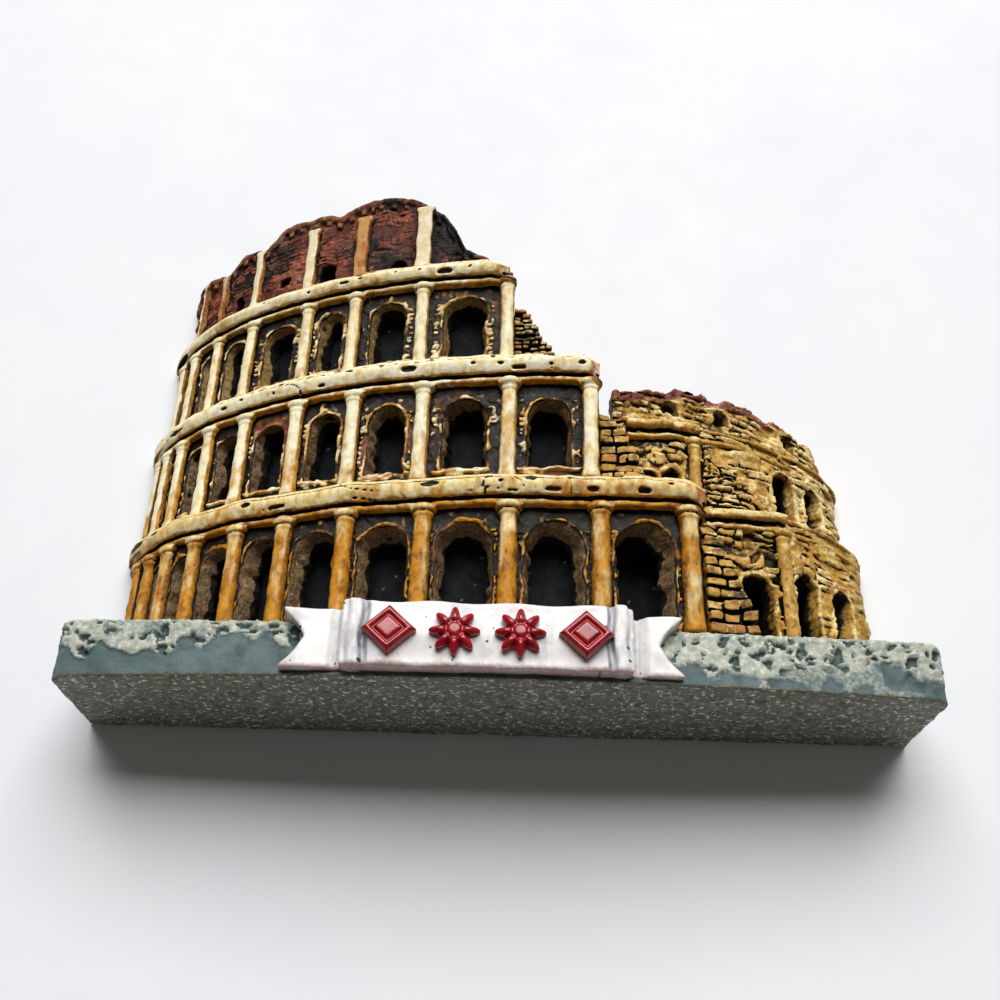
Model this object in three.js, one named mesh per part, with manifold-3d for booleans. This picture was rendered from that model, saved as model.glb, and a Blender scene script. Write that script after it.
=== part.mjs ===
// Souvenir fridge magnet: a painted cast relief of a ruined oval amphitheatre on a slab base.
// Millimetres. X runs along the base, Y up the building, Z out of the relief from its flat back.
// Heights are measured from the underside of the base while building, and the finished group is
// then centred on its own middle in X and Y, with the flat back on Z = 0.
import * as THREE from "three";
import { mergeVertices } from "three/addons/utils/BufferGeometryUtils.js";
import Module from "manifold-3d";

// ---- Driving dimensions ----

const GAP = 0.3; // clearance kept between neighbouring solids
const CONTACT = 0.1; // clearance between flat faces that rest on each other
const WELD = 0.2; // how far joined shapes sink into each other

const BASE = { width: 80, height: 5.7, endDepth: 13.3, corner: 1.1, bulgeLow: 2.6, bulgeTop: 1.2 };

// The two curved walls in plan: quarter ellipses around one centre line.
const CENTRE_X = 9;
const FACADE = { halfWidth: 48, depth: 14.5, drop: 0.62, dropPower: 0.75 };
const INNER = { halfWidth: 28.2, depth: 11, drop: 0.22, dropPower: 1 };
const INNER_MIDDLE = { ...INNER, halfWidth: 27.4 }; // the upper storeys' far end leans in
const INNER_TOP = { ...INNER, halfWidth: 26.6 };
const DROP_MARGIN = 2; // widens the curve that level lines fall along, so that they never turn steep

const WALL = { behindColumns: 1.5, thickness: 3, innerThickness: 2.5 };
const CORNICE_PROUD = 0.5; // past the column fronts
const FULL_HEIGHT = 62; // above every backing
const FAR_LEFT = -89; // degrees, where the facade meets the flat back
const FAR_RIGHT = 89;
const ARC_STEP = 6; // degrees per facet of a curved wall

// Storeys of the facade. Levels are heights at the middle of the building; setback is how far the
// storey stands behind the ground storey; columns are the angles of its columns from the centre line,
// right to left.
const GROUND = {
  foot: 6, top: 18.4, corniceTop: 21.6, setback: 0, right: 12, corniceRight: 12.6,
  arch: { sill: 5, crown: 17.2, width: 0.66 }, columnRadius: 0.92,
  columns: [10.5, 0.1, -10.65, -21.1, -31.3, -40.5, -48.8, -57.5, -65.1, -72, -78.2],
};
const SECOND = {
  foot: 21.9, top: 33, corniceTop: 36.2, setback: 0.4, right: 0.4, corniceRight: 0.4,
  arch: { sill: 23.5, crown: 31.6, width: 0.52 }, columnRadius: 0.84,
  columns: [-0.8, -11, -22.3, -32.2, -41.3, -51.2, -59.7, -68.3, -75, -81.7],
};
const THIRD = {
  foot: 36.5, top: 46.8, corniceTop: 49.6, setback: 1, right: -11, corniceRight: -11.4,
  arch: { sill: 37.8, crown: 45.7, width: 0.5 }, columnRadius: 0.76,
  columns: [-11.6, -23.6, -34.1, -42.4, -54.2, -63.5, -72.6, -79.6],
};
const ATTIC = {
  foot: 49.9, top: 59, setback: 1.6, right: -14.5,
  pilasters: [-24.2, -34.3, -43.5, -55.3, -65.4, -74.5],
};
// Attic windows as [angle, width, sill, crown], the levels above its foot.
const ATTIC_WINDOWS = [
  [-28.1, 1.6, 0.6, 2.1],
  [-40.4, 1.7, 0.6, 3.6],
  [-49, 1.3, 2, 3.5],
  [-60.6, 1, 1.2, 3.4],
];
const ATTIC_RECESS = 1; // the brick stands this far behind the storey's front line

// Storeys of the inner wall on the right.
const INNER_GROUND = {
  curve: INNER, foot: 6, top: 19.4, corniceTop: 21.6, left: 21.6, corniceLeft: 21.6, setback: 0,
  columnAngle: 41, columnRadius: 0.72,
};
const INNER_UPPER = {
  curve: INNER_MIDDLE, foot: 21.9, top: 28.9, corniceTop: 31, left: 4.5, corniceLeft: 7, setback: 0.9,
  columnAngle: 22.5, columnRadius: 0.62,
};
const PARAPET = { curve: INNER_TOP, foot: 31.4, setback: 1.4 };

// Heaps of broken courses against the right-hand ends of the facade's storeys.
const GROUND_RUBBLE = {
  left: 19.4, foot: 6, top: 17.4, footWidth: 4.3, topWidth: 0.9, back: 11, front: 14, lean: 0.6,
  courses: 7,
};
const SECOND_RUBBLE = {
  left: 9.9, foot: 21.9, top: 30.4, footWidth: 4.4, topWidth: 0.9, back: 10.6, front: 13.4,
  lean: 0.5, courses: 6,
};
const THIRD_BREAK = {
  left: 1.1, foot: 36.5, top: 44.2, footWidth: 4.4, topWidth: 0.9, back: 9.2, front: 12.2,
  lean: 0.2, courses: 8,
};

const MAGNET = { radius: 8, thickness: 2.5, glue: 0.4 };
const MAGNETS = [
  { side: "left", x: -16, y: 27 },
  { side: "right", x: 20, y: 17 },
];

// The ribbon hangs a little left of the middle, with the shorter tail on the right.
const RIBBON = {
  middle: -1.25, halfPanel: 12.75, leftEnd: -19.4, rightEnd: 16, notch: 2.3, low: 0.6, panelTop: 6.9,
  tailTop: 6.4, front: 17.2,
};
const MOTIF = { height: 4.7, thickness: 0.8, pitch: 5.7, petals: 8 };

// ---- Finishes ----

function finish(colour, roughness) {
  return new THREE.MeshStandardMaterial({ color: colour, roughness, metalness: 0 });
}

const slate = () => finish(0x7d8c8c, 0.75);
const shadowStone = () => finish(0x2b2620, 0.85);
const ochreStone = () => finish(0xa87a3c, 0.7);
const creamStone = () => finish(0xdcc690, 0.6);
const redBrick = () => finish(0x6e3a30, 0.8);
const ribbonWhite = () => finish(0xe9e6e2, 0.4);
const motifRed = () => finish(0xb01722, 0.3);
const ferrite = () => finish(0x2e2e30, 0.6);
const glue = () => finish(0xd9cfae, 0.4);

// ---- Solids ----

const wasm = await Module();
wasm.setup();

function solid(geometry) {
  const bare = geometry.clone();
  bare.deleteAttribute("normal");
  bare.deleteAttribute("uv");
  const merged = mergeVertices(bare, 1e-4);
  return new wasm.Manifold(
    new wasm.Mesh({
      numProp: 3,
      vertProperties: merged.attributes.position.array,
      triVerts: new Uint32Array(merged.index.array),
    }),
  );
}

function geometryOf(body) {
  const mesh = body.getMesh();
  const geometry = new THREE.BufferGeometry();
  geometry.setAttribute("position", new THREE.BufferAttribute(mesh.vertProperties, 3));
  geometry.setIndex(new THREE.BufferAttribute(mesh.triVerts, 1));
  return geometry;
}

function join(bodies) {
  return bodies.reduce((whole, body) => whole.add(body));
}

function cut(body, tools) {
  return tools.reduce((whole, tool) => whole.subtract(tool), body);
}

// Moves every vertex by a function of its place.
function reshape(body, move) {
  const geometry = geometryOf(body);
  const at = geometry.attributes.position;
  const point = new THREE.Vector3();
  for (let i = 0; i < at.count; i++) {
    move(point.fromBufferAttribute(at, i));
    at.setXYZ(i, point.x, point.y, point.z);
  }
  return solid(geometry);
}

// A prism that stands upright: a plan outline of [x, z] points between two heights.
function upright(plan, low, high) {
  const shape = new THREE.Shape(plan.map(([x, z]) => new THREE.Vector2(x, -z)));
  const geometry = new THREE.ExtrudeGeometry(shape, { depth: high - low, bevelEnabled: false });
  return solid(geometry.rotateX(-Math.PI / 2).translate(0, low, 0));
}

// A plate that lies in the plane of the relief: an outline of [x, y] points between two depths.
function plate(outline, back, front) {
  const shape = new THREE.Shape(outline.map(([x, y]) => new THREE.Vector2(x, y)));
  const geometry = new THREE.ExtrudeGeometry(shape, { depth: front - back, bevelEnabled: false });
  return solid(geometry.translate(0, 0, back));
}

function block(x, y, z) {
  return plate([[x[0], y[0]], [x[1], y[0]], [x[1], y[1]], [x[0], y[1]]], z[0], z[1]);
}

// ---- Plan curves ----

const radians = THREE.MathUtils.degToRad;

// A point of a wall's plan at an angle from the centre line, inset from its front.
function planPoint(curve, degrees, inset) {
  const angle = radians(degrees);
  return [
    CENTRE_X + (curve.halfWidth - inset) * Math.sin(angle),
    Math.max(0, (curve.depth - inset) * Math.cos(angle)),
  ];
}

// The direction that a wall faces at an angle, as a turn about the upright axis.
function facing(curve, degrees) {
  return Math.atan((curve.depth / curve.halfWidth) * Math.tan(radians(degrees)));
}

// A curved band of wall between two angles, two insets and two heights: a box bent round the plan.
function band(curve, [from, to], [front, back], low, high) {
  const steps = Math.max(1, Math.round((to - from) / ARC_STEP));
  const box = solid(new THREE.BoxGeometry(1, 1, 1, steps, 1, 1));
  return reshape(box, (point) => {
    const angle = THREE.MathUtils.lerp(from, to, point.x + 0.5);
    const [x, z] = planPoint(curve, angle, point.z > 0 ? front : back);
    settle(curve, point.set(x, point.y > 0 ? high : low, z));
  });
}

// The same with a top that slopes from one level to another.
function brokenBand(curve, [from, to], insets, low, [leftTop, rightTop]) {
  const box = solid(new THREE.BoxGeometry(1, 1, 1));
  return reshape(box, (point) => {
    const isRight = point.x > 0;
    const [x, z] = planPoint(curve, isRight ? to : from, point.z > 0 ? insets[0] : insets[1]);
    const top = isRight ? rightTop : leftTop;
    settle(curve, point.set(x, point.y > 0 ? top : low, z));
  });
}

// The forced perspective of the relief: level lines fall towards the far end of each wall.
function settle(curve, point) {
  const across = (point.x - CENTRE_X) / (curve.halfWidth + DROP_MARGIN);
  const turned = 1 - Math.sqrt(1 - across * across);
  const above = Math.max(0, point.y - BASE.height);
  point.y -= curve.drop * Math.pow(above, curve.dropPower) * turned;
}

const settled = (body, curve) => reshape(body, (point) => settle(curve, point));

// Columns and arches get slimmer as the wall turns away.
function slimming(degrees) {
  return 0.55 + 0.45 * Math.cos(radians(degrees));
}

function countUp([first, last]) {
  return Array.from({ length: last - first + 1 }, (_, i) => first + i);
}

// ---- Building pieces ----

// A round-headed opening, cut straight through a wall.
function archCutter(curve, degrees, inset, width, sill, crown) {
  const half = width / 2;
  const shape = new THREE.Shape();
  shape.moveTo(-half, sill);
  shape.lineTo(half, sill);
  shape.lineTo(half, crown - half);
  shape.absarc(0, crown - half, half, 0, Math.PI, false);
  const reach = 2.4;
  const options = { depth: WALL.thickness + 2 * reach, bevelEnabled: false, curveSegments: 4 };
  const geometry = new THREE.ExtrudeGeometry(shape, options);
  const [x, z] = planPoint(curve, degrees, inset);
  geometry.translate(0, 0, -WALL.thickness - reach);
  return settled(solid(geometry.rotateY(facing(curve, degrees)).translate(x, 0, z)), curve);
}

function arcLength(curve, from, to) {
  const [x0, z0] = planPoint(curve, from, 0);
  const [x1, z1] = planPoint(curve, to, 0);
  return Math.hypot(x1 - x0, z1 - z0);
}

// A column with a base ring, a tapering shaft and a cushion capital.
function column(curve, [x, z], radius, foot, top) {
  const profile = [
    [0, foot],
    [radius * 1.2, foot],
    [radius * 1.2, foot + 0.7],
    [radius, foot + 1],
    [radius * 0.92, top - 1.5],
    [radius * 1.28, top - 1.1],
    [radius * 1.05, top + WELD + GAP],
    [0, top + WELD + GAP],
  ];
  const points = profile.map(([r, y]) => new THREE.Vector2(r, y));
  return settled(solid(new THREE.LatheGeometry(points, 10).translate(x, 0, z)), curve);
}

// A storey's wall with one arch between each pair of columns.
function arcadeWall(storey) {
  const face = storey.setback + WALL.behindColumns;
  const depths = [face, face + WALL.thickness];
  const wall = band(FACADE, [FAR_LEFT, storey.right], depths, storey.foot, storey.top);
  const arches = storey.columns.slice(1).map((left, i) => {
    const right = storey.columns[i];
    const width = arcLength(FACADE, left, right) * storey.arch.width;
    const { sill, crown } = storey.arch;
    return archCutter(FACADE, (left + right) / 2, face, width, sill, crown);
  });
  return cut(wall, arches);
}

// A storey's columns with the moulded cornice that they carry.
function colonnade(storey) {
  const front = storey.setback - CORNICE_PROUD;
  const back = storey.setback + WALL.behindColumns + WALL.thickness;
  const reach = [FAR_LEFT, storey.corniceRight];
  const low = storey.top + GAP;
  const middle = (low + storey.corniceTop) / 2;
  const mouldings = [
    band(FACADE, reach, [storey.setback + 0.35, back], low, middle),
    band(FACADE, reach, [front, back], middle - WELD, storey.corniceTop),
  ];
  const columns = storey.columns.map((angle) => {
    const radius = storey.columnRadius * slimming(angle);
    const place = planPoint(FACADE, angle, storey.setback + storey.columnRadius);
    return column(FACADE, place, radius, storey.foot, storey.top);
  });
  const face = storey.setback + WALL.behindColumns;
  const clear = [face - GAP, face + WALL.thickness + GAP];
  const wallSpace = band(FACADE, [FAR_LEFT - 1, storey.corniceRight + 4], clear, 0, low);
  return cut(join([...mouldings, ...columns]), [wallSpace]);
}

// The brick attic. Its broken crown is an outline of [angle, level] points, left to right.
function atticWall() {
  const crown = [
    [-89, 57.5], [-81, 60.2], [-73, 59.6], [-65, 57.9], [-61, 59.9], [-57, 59.5], [-54.5, 59],
    [-50, 61.4], [-45, 61.3], [-41, 61.2], [-38.7, 60.3], [-35, 61.7], [-31, 61.8], [-28, 61.3],
    [-25, 60.1], [-21.5, 58], [-19.5, 55.6], [-18, 52.6], [-16.4, 51.6], [-14.5, 50.8],
  ];
  const face = ATTIC.setback + ATTIC_RECESS;
  const depths = [face, face + WALL.thickness];
  const bays = crown.slice(1).map(([right, rightLevel], i) => {
    const [left, leftLevel] = crown[i];
    return brokenBand(FACADE, [left, right], depths, ATTIC.foot, [leftLevel, rightLevel]);
  });
  const windows = ATTIC_WINDOWS.map(([angle, width, sill, top]) =>
    archCutter(FACADE, angle, face, width, ATTIC.foot + sill, ATTIC.foot + top),
  );
  return cut(join(bays), windows);
}

// Flat pilasters that rise from one plinth course.
function atticPilasters() {
  const face = ATTIC.setback + ATTIC_RECESS;
  const depths = [face - 1.1, face - GAP];
  const plinth = band(FACADE, [FAR_LEFT, ATTIC.right], depths, ATTIC.foot, ATTIC.foot + 1);
  const strips = ATTIC.pilasters.map((angle) => {
    const half = 1.3 * slimming(angle) ** 2;
    const reach = [angle - half, angle + half];
    return band(FACADE, reach, depths, ATTIC.foot + 1 - WELD, ATTIC.top);
  });
  return join([plinth, ...strips]);
}

// Solid backing under one quarter of a curved wall, from the flat back to an inset from its front.
function backing(curve, [from, to], inset, outline) {
  const steps = Math.round((to - from) / ARC_STEP);
  const arc = countUp([0, steps]).map((i) => planPoint(curve, from + ((to - from) * i) / steps, inset));
  const plan = [...arc, [arc.at(-1)[0], 0], [arc[0][0], 0]];
  return upright(plan, BASE.height + GAP, FULL_HEIGHT).intersect(plate(outline, -1, BASE.endDepth));
}

// The cast backing behind the facade, stepped down to the right like the ruin.
function facadeCore() {
  const inset = ATTIC.setback + ATTIC_RECESS + WALL.thickness + GAP;
  const outline = [
    [-41, 5], [CENTRE_X, 5], [CENTRE_X, 32], [4, 36], [-0.5, 43], [-3, 46.5], [-7, 50], [-9, 54],
    [-13, 57], [-20, 55.5], [-27, 52], [-33, 47.5], [-41, 42],
  ];
  const body = backing(FACADE, [FAR_LEFT, -GAP / 2], inset, outline);
  return cut(body, [magnetPocket(MAGNETS[0])]);
}

// The cast backing behind the inner wall.
function innerCore() {
  const inset = PARAPET.setback + WALL.innerThickness + GAP;
  const outline = [[CENTRE_X, 5], [40, 5], [40, 24], [33, 28], [25, 31], [CENTRE_X, 32.5]];
  const body = backing(PARAPET.curve, [GAP, FAR_RIGHT], inset, outline);
  return cut(body, [magnetPocket(MAGNETS[1])]);
}

// The inner wall's ground storey: three arches between the rubble and the right edge.
function innerGroundWall() {
  const { curve, left, foot, top, setback } = INNER_GROUND;
  const depths = [setback, setback + WALL.innerThickness];
  const wall = band(curve, [left, FAR_RIGHT], depths, foot, top);
  const arches = [
    [33.5, 3, foot + 8.2],
    [47, 2.5, foot + 9.2],
    [61, 2.8, foot + 9],
  ].map(([angle, width, crown]) => archCutter(curve, angle, setback, width, foot - 1, crown));
  return cut(wall, arches);
}

// A cornice that covers a stretch of the inner wall, with one column under it.
function innerCornice(storey, heavyRight) {
  const { curve, top, corniceTop, corniceLeft, setback, columnAngle: angle } = storey;
  const back = setback + WALL.innerThickness;
  const low = top + GAP;
  const light = band(curve, [corniceLeft, FAR_RIGHT], [setback - 0.5, back], low, corniceTop - 0.7);
  const heavy = band(curve, [corniceLeft, heavyRight], [setback - 1.3, back], low, corniceTop);
  const place = planPoint(curve, angle, setback - 0.35);
  const shaft = column(curve, place, storey.columnRadius, storey.foot, top);
  const clear = [setback - GAP, setback + WALL.innerThickness + GAP];
  const wallSpace = band(curve, [0, FAR_RIGHT + 1], clear, 0, low);
  return cut(join([light, heavy, shaft]), [wallSpace]);
}

// The inner wall's upper storey: a small window, two slender niches and a slot.
function innerUpperWall() {
  const { curve, left, foot, top, setback } = INNER_UPPER;
  const depths = [setback, setback + WALL.innerThickness];
  const wall = band(curve, [left, FAR_RIGHT], depths, foot, top);
  const openings = [
    [17.3, 2, foot + 0.6, foot + 3.6],
    [11.5, 1.6, foot + 1, foot + 3],
    [48, 2.5, foot + 0.5, foot + 6.1],
    [60.5, 2.3, foot + 0.5, foot + 5.9],
  ].map(([angle, width, sill, crown]) => archCutter(curve, angle, setback, width, sill, crown));
  return cut(wall, openings);
}

// The crumbled parapet: merlons of uneven height with holes between them.
function innerParapet() {
  const { curve, foot, setback } = PARAPET;
  const depths = [setback, setback + WALL.innerThickness];
  const tops = [34.9, 35.5, 35.9, 35.5, 35.8, 35, 35.7, 34.9, 35.3, 34.6, 35.1];
  const width = (FAR_RIGHT - INNER_UPPER.left) / tops.length;
  const merlons = tops.map((top, i) => {
    const left = INNER_UPPER.left + i * width;
    const reach = [left, left + width];
    return band(curve, reach, depths, foot, top);
  });
  const holes = [18.5, 32.5, 57].map((angle) =>
    archCutter(curve, angle, setback, 1.7, foot + 0.9, foot + 2.7),
  );
  return cut(join(merlons), holes);
}

// A stepped heap of stone courses leaning against a broken end, widest at its foot.
function rubble({ left, foot, top, footWidth, topWidth, back, front, lean, courses }) {
  const rise = (top - foot) / courses;
  const stones = countUp([0, courses - 1]).map((course) => {
    const up = course / (courses - 1);
    const low = foot + course * rise;
    const width = THREE.MathUtils.lerp(footWidth, topWidth, up);
    const nearer = front - lean * up;
    const setIn = course % 2 ? 0.35 : 0;
    return block([left, left + width], [low - (course ? WELD : 0), low + rise], [back, nearer - setIn]);
  });
  return join(stones);
}

// ---- Base, ribbon and magnets ----

// Depth of the base's bowed front at a place along it and a height up it.
function baseFront(x, y) {
  const up = THREE.MathUtils.clamp(y / BASE.height, 0, 1);
  const bulge = THREE.MathUtils.lerp(BASE.bulgeLow, BASE.bulgeTop, up);
  return BASE.endDepth + bulge * (1 - (x / (BASE.width / 2)) ** 2);
}

// The slab: a bowed front, cut corners and a flat back.
function baseSlab() {
  const half = BASE.width / 2;
  const steps = 24;
  const corner = BASE.corner;
  const front = Array.from({ length: steps + 1 }, (_, i) => {
    const x = -(half - corner) + (2 * (half - corner) * i) / steps;
    return [x, baseFront(x, 0)];
  });
  const shoulder = BASE.endDepth - corner;
  const plan = [[-half, 0], [-half, shoulder], ...front, [half, shoulder], [half, 0]];
  return reshape(upright(plan, 0, BASE.height), (point) => {
    const isTopOfFront = point.y > BASE.height / 2 && point.z > shoulder + CONTACT;
    if (isTopOfFront) point.z = baseFront(point.x, BASE.height);
  });
}

// A flat-fronted piece of ribbon whose back follows the bowed base.
function ribbonPiece(outline, front) {
  const clearOfColumns = 0.6;
  return reshape(plate(outline, 0, front), (point) => {
    if (point.z > front / 2) return;
    const above = point.y > BASE.height + 0.2 ? clearOfColumns : 0;
    point.z = baseFront(point.x, point.y) + GAP + above;
  });
}

function ribbonPanel() {
  const { middle, halfPanel, low, panelTop, front } = RIBBON;
  const steps = 8;
  const place = (i) => middle - halfPanel + (2 * halfPanel * i) / steps;
  const along = Array.from({ length: steps + 1 }, (_, i) => place(i));
  const bottom = along.map((x) => [x, low]);
  const top = along.map((x) => [x, panelTop]).reverse();
  return ribbonPiece([...bottom, ...top], front);
}

// A ribbon end, cut in a swallow tail; side is -1 on the left and 1 on the right.
function ribbonTail(side, end) {
  const { middle, halfPanel, notch, low, tailTop, front } = RIBBON;
  const inner = middle + side * (halfPanel + GAP);
  const waist = (low + tailTop) / 2;
  const outline = [[inner, low], [end, low], [end - side * notch, waist], [end, tailTop], [inner, tailTop]];
  return ribbonPiece(side > 0 ? outline : outline.reverse(), front - 0.9);
}

// A raised ornament on the panel: a lozenge at the ends and a rosette in the middle.
function motif(index) {
  const x = RIBBON.middle + (index - 1.5) * MOTIF.pitch;
  const y = (RIBBON.low + RIBBON.panelTop) / 2;
  const back = RIBBON.front + CONTACT;
  const isRosette = index === 1 || index === 2;
  const corners = isRosette ? MOTIF.petals * 6 : 4;
  const outline = Array.from({ length: corners }, (_, i) => {
    const turn = (i / corners) * 2 * Math.PI;
    const wave = isRosette ? 0.82 + 0.18 * Math.cos(MOTIF.petals * turn) : 1;
    const across = isRosette ? MOTIF.height / 2 : MOTIF.pitch / 2 - 0.3;
    return [x + across * wave * Math.cos(turn), y + (MOTIF.height / 2) * wave * Math.sin(turn)];
  });
  return plate(outline, back, back + MOTIF.thickness);
}

function disc({ x, y }, radius, back, front) {
  const geometry = new THREE.CylinderGeometry(radius, radius, front - back, 40);
  return solid(geometry.rotateX(Math.PI / 2).translate(x, y, (back + front) / 2));
}

function magnetPocket(place) {
  const depth = MAGNET.thickness + MAGNET.glue + 2 * CONTACT;
  return disc(place, MAGNET.radius + GAP, -1, depth);
}

// ---- Assembly ----

const model = new THREE.Group();

function add(name, body, material) {
  const mesh = new THREE.Mesh(geometryOf(body), material);
  mesh.geometry.computeVertexNormals();
  mesh.name = name;
  model.add(mesh);
}

add("base_slab", baseSlab(), slate());
add("facade_core", facadeCore(), shadowStone());
add("inner_core", innerCore(), shadowStone());

add("ground_arcade_wall", arcadeWall(GROUND), ochreStone());
add("second_arcade_wall", arcadeWall(SECOND), ochreStone());
add("third_arcade_wall", arcadeWall(THIRD), ochreStone());
add("attic_wall", atticWall(), redBrick());

add("ground_colonnade", colonnade(GROUND), creamStone());
add("second_colonnade", colonnade(SECOND), creamStone());
add("third_colonnade", colonnade(THIRD), creamStone());
add("attic_pilasters", atticPilasters(), creamStone());

add("inner_ground_wall", innerGroundWall(), ochreStone());
add("inner_ground_cornice", innerCornice(INNER_GROUND, 42), creamStone());
add("inner_upper_wall", innerUpperWall(), ochreStone());
add("inner_upper_cornice", innerCornice(INNER_UPPER, 24), creamStone());
add("inner_parapet", innerParapet(), redBrick());

add("ground_rubble", rubble(GROUND_RUBBLE), ochreStone());
add("second_rubble", rubble(SECOND_RUBBLE), ochreStone());
add("third_brick_break", rubble(THIRD_BREAK), redBrick());

add("ribbon_panel", ribbonPanel(), ribbonWhite());
add("ribbon_tail_left", ribbonTail(-1, RIBBON.leftEnd), ribbonWhite());
add("ribbon_tail_right", ribbonTail(1, RIBBON.rightEnd), ribbonWhite());
countUp([0, 3]).forEach((index) => add("motif_" + (index + 1), motif(index), motifRed()));

for (const place of MAGNETS) {
  add("magnet_" + place.side, disc(place, MAGNET.radius, 0, MAGNET.thickness), ferrite());
  const back = MAGNET.thickness + CONTACT;
  add("adhesive_" + place.side, disc(place, MAGNET.radius - 1, back, back + MAGNET.glue), glue());
}

// The finished model is centred over its own middle.
const middle = new THREE.Box3().setFromObject(model).getCenter(new THREE.Vector3());
model.position.set(-middle.x, -middle.y, 0);

export default model;
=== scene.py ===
"""Souvenir fridge magnet: a hand-painted cast relief of a ruined oval amphitheatre, lying on its back.

The visual model is sculpted in code. Each sub-part is a field that is negative inside the part,
sampled on a grid, skinned with quads, roughened and, for the curved walls, bent round their plan.
Fields are in millimetres. Heights count from the underside of the base, as the part's levels do.
"""

import functools
import itertools
import math

import bpy
import numpy as np
from mathutils import Matrix, Vector


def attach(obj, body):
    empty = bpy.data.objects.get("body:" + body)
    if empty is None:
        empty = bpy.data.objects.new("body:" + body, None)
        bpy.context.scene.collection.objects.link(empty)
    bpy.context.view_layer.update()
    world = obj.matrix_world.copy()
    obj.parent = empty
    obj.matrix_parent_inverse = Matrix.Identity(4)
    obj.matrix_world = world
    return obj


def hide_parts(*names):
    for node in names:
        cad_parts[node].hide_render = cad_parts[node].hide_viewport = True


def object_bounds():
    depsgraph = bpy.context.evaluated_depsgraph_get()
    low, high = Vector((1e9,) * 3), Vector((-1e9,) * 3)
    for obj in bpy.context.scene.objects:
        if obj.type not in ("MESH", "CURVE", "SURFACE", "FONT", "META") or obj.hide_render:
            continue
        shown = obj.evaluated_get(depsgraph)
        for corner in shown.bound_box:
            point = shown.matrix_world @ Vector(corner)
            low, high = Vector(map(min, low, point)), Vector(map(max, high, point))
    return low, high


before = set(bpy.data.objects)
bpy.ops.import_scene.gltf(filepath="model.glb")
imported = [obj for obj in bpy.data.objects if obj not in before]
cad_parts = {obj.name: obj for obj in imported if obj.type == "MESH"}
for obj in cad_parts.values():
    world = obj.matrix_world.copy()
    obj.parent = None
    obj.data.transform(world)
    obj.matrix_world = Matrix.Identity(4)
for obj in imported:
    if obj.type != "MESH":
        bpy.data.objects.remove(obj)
cad_low, cad_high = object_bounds()

MM = 0.001
UNDERSIDE = cad_low.y / MM  # the base's underside in the frame's own Y
TOP_FRONT = cad_high.z / MM

# Spacing of the sampled grids, in millimetres.
WALL_STEP = 0.14
BASE_STEP = 0.2
CORE_STEP = 0.32
DISC_STEP = 0.2
RIBBON_STEP = 0.13
RUBBLE_STEP = 0.12
MOTIF_STEP = 0.09

# ---- Driving dimensions, in millimetres and degrees, the same as the part's ----

BASE = dict(width=80, height=5.7, end_depth=13.3, bulge_low=2.6, bulge_top=1.2, corner=1.1)
CENTRE_X = 9
FACADE = dict(half_width=48, depth=14.5, drop=0.62, power=0.75)
INNER = dict(half_width=28.2, depth=11, drop=0.22, power=1)
INNER_MIDDLE = dict(INNER, half_width=27.4)
INNER_TOP = dict(INNER, half_width=26.6)
DROP_MARGIN = 2
FAR_LEFT, FAR_RIGHT = -89, 89
BEHIND_COLUMNS = 1.5
WALL_DEPTH = 3
INNER_DEPTH = 2.5

# flares: how fast each arch narrows with depth on its left and right; painted: the depth to which
# its sides carry stone colour; roll_short: how far the roll stops before the cornice's end;
# highlight, ruddy and chips: how much cream, red patches and gouges the storey has.
GROUND = dict(
    foot=6, top=18.4, cornice_top=21.6, setback=0, right=12, cornice_right=12.6, sill=5, crown=17.2,
    width=0.66, radius=0.92, seed=11, highlight=0.05, ruddy=-0.3, chips=0.5, painted=1.9, roll_short=1.5,
    columns=(10.5, 0.1, -10.65, -21.1, -31.3, -40.5, -48.8, -57.5, -65.1, -72, -78.2),
    flares=((0.06, 0.4), (0.18, 0.44), (0.24, 0.28), (0.3, 0.16), (0.28, 0.1), (0.3, 0.1), (0.2, 0.1),
            (0.2, 0.1), (0.2, 0.1), (0.2, 0.1)),
)
SECOND = dict(
    foot=21.9, top=33, cornice_top=36.2, setback=0.4, right=0.4, cornice_right=0.4, sill=23.5,
    crown=31.6, width=0.52, radius=0.84, seed=23, highlight=0.95, ruddy=0, chips=0.6, painted=1.5,
    roll_short=1.4, columns=(-0.8, -11, -22.3, -32.2, -41.3, -51.2, -59.7, -68.3, -75, -81.7),
    flares=((0.16, 0.22), (0.18, 0.18), (0.2, 0.12), (0.16, 0.06), (0.2, 0.06), (0.16, 0.06),
            (0.16, 0.06), (0.16, 0.06), (0.16, 0.06)),
)
THIRD = dict(
    foot=36.5, top=46.8, cornice_top=49.6, setback=1, right=-11, cornice_right=-11.4, sill=37.8,
    crown=45.7, width=0.5, radius=0.76, seed=37, highlight=1, ruddy=-0.1, chips=0.5, painted=1.2,
    roll_short=2.1, columns=(-11.6, -23.6, -34.1, -42.4, -54.2, -63.5, -72.6, -79.6),
    flares=((0.2, 0.2), (0.2, 0.18), (0.2, 0.14), (0.2, 0.1), (0.2, 0.1), (0.2, 0.1), (0.2, 0.1)),
)
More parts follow.
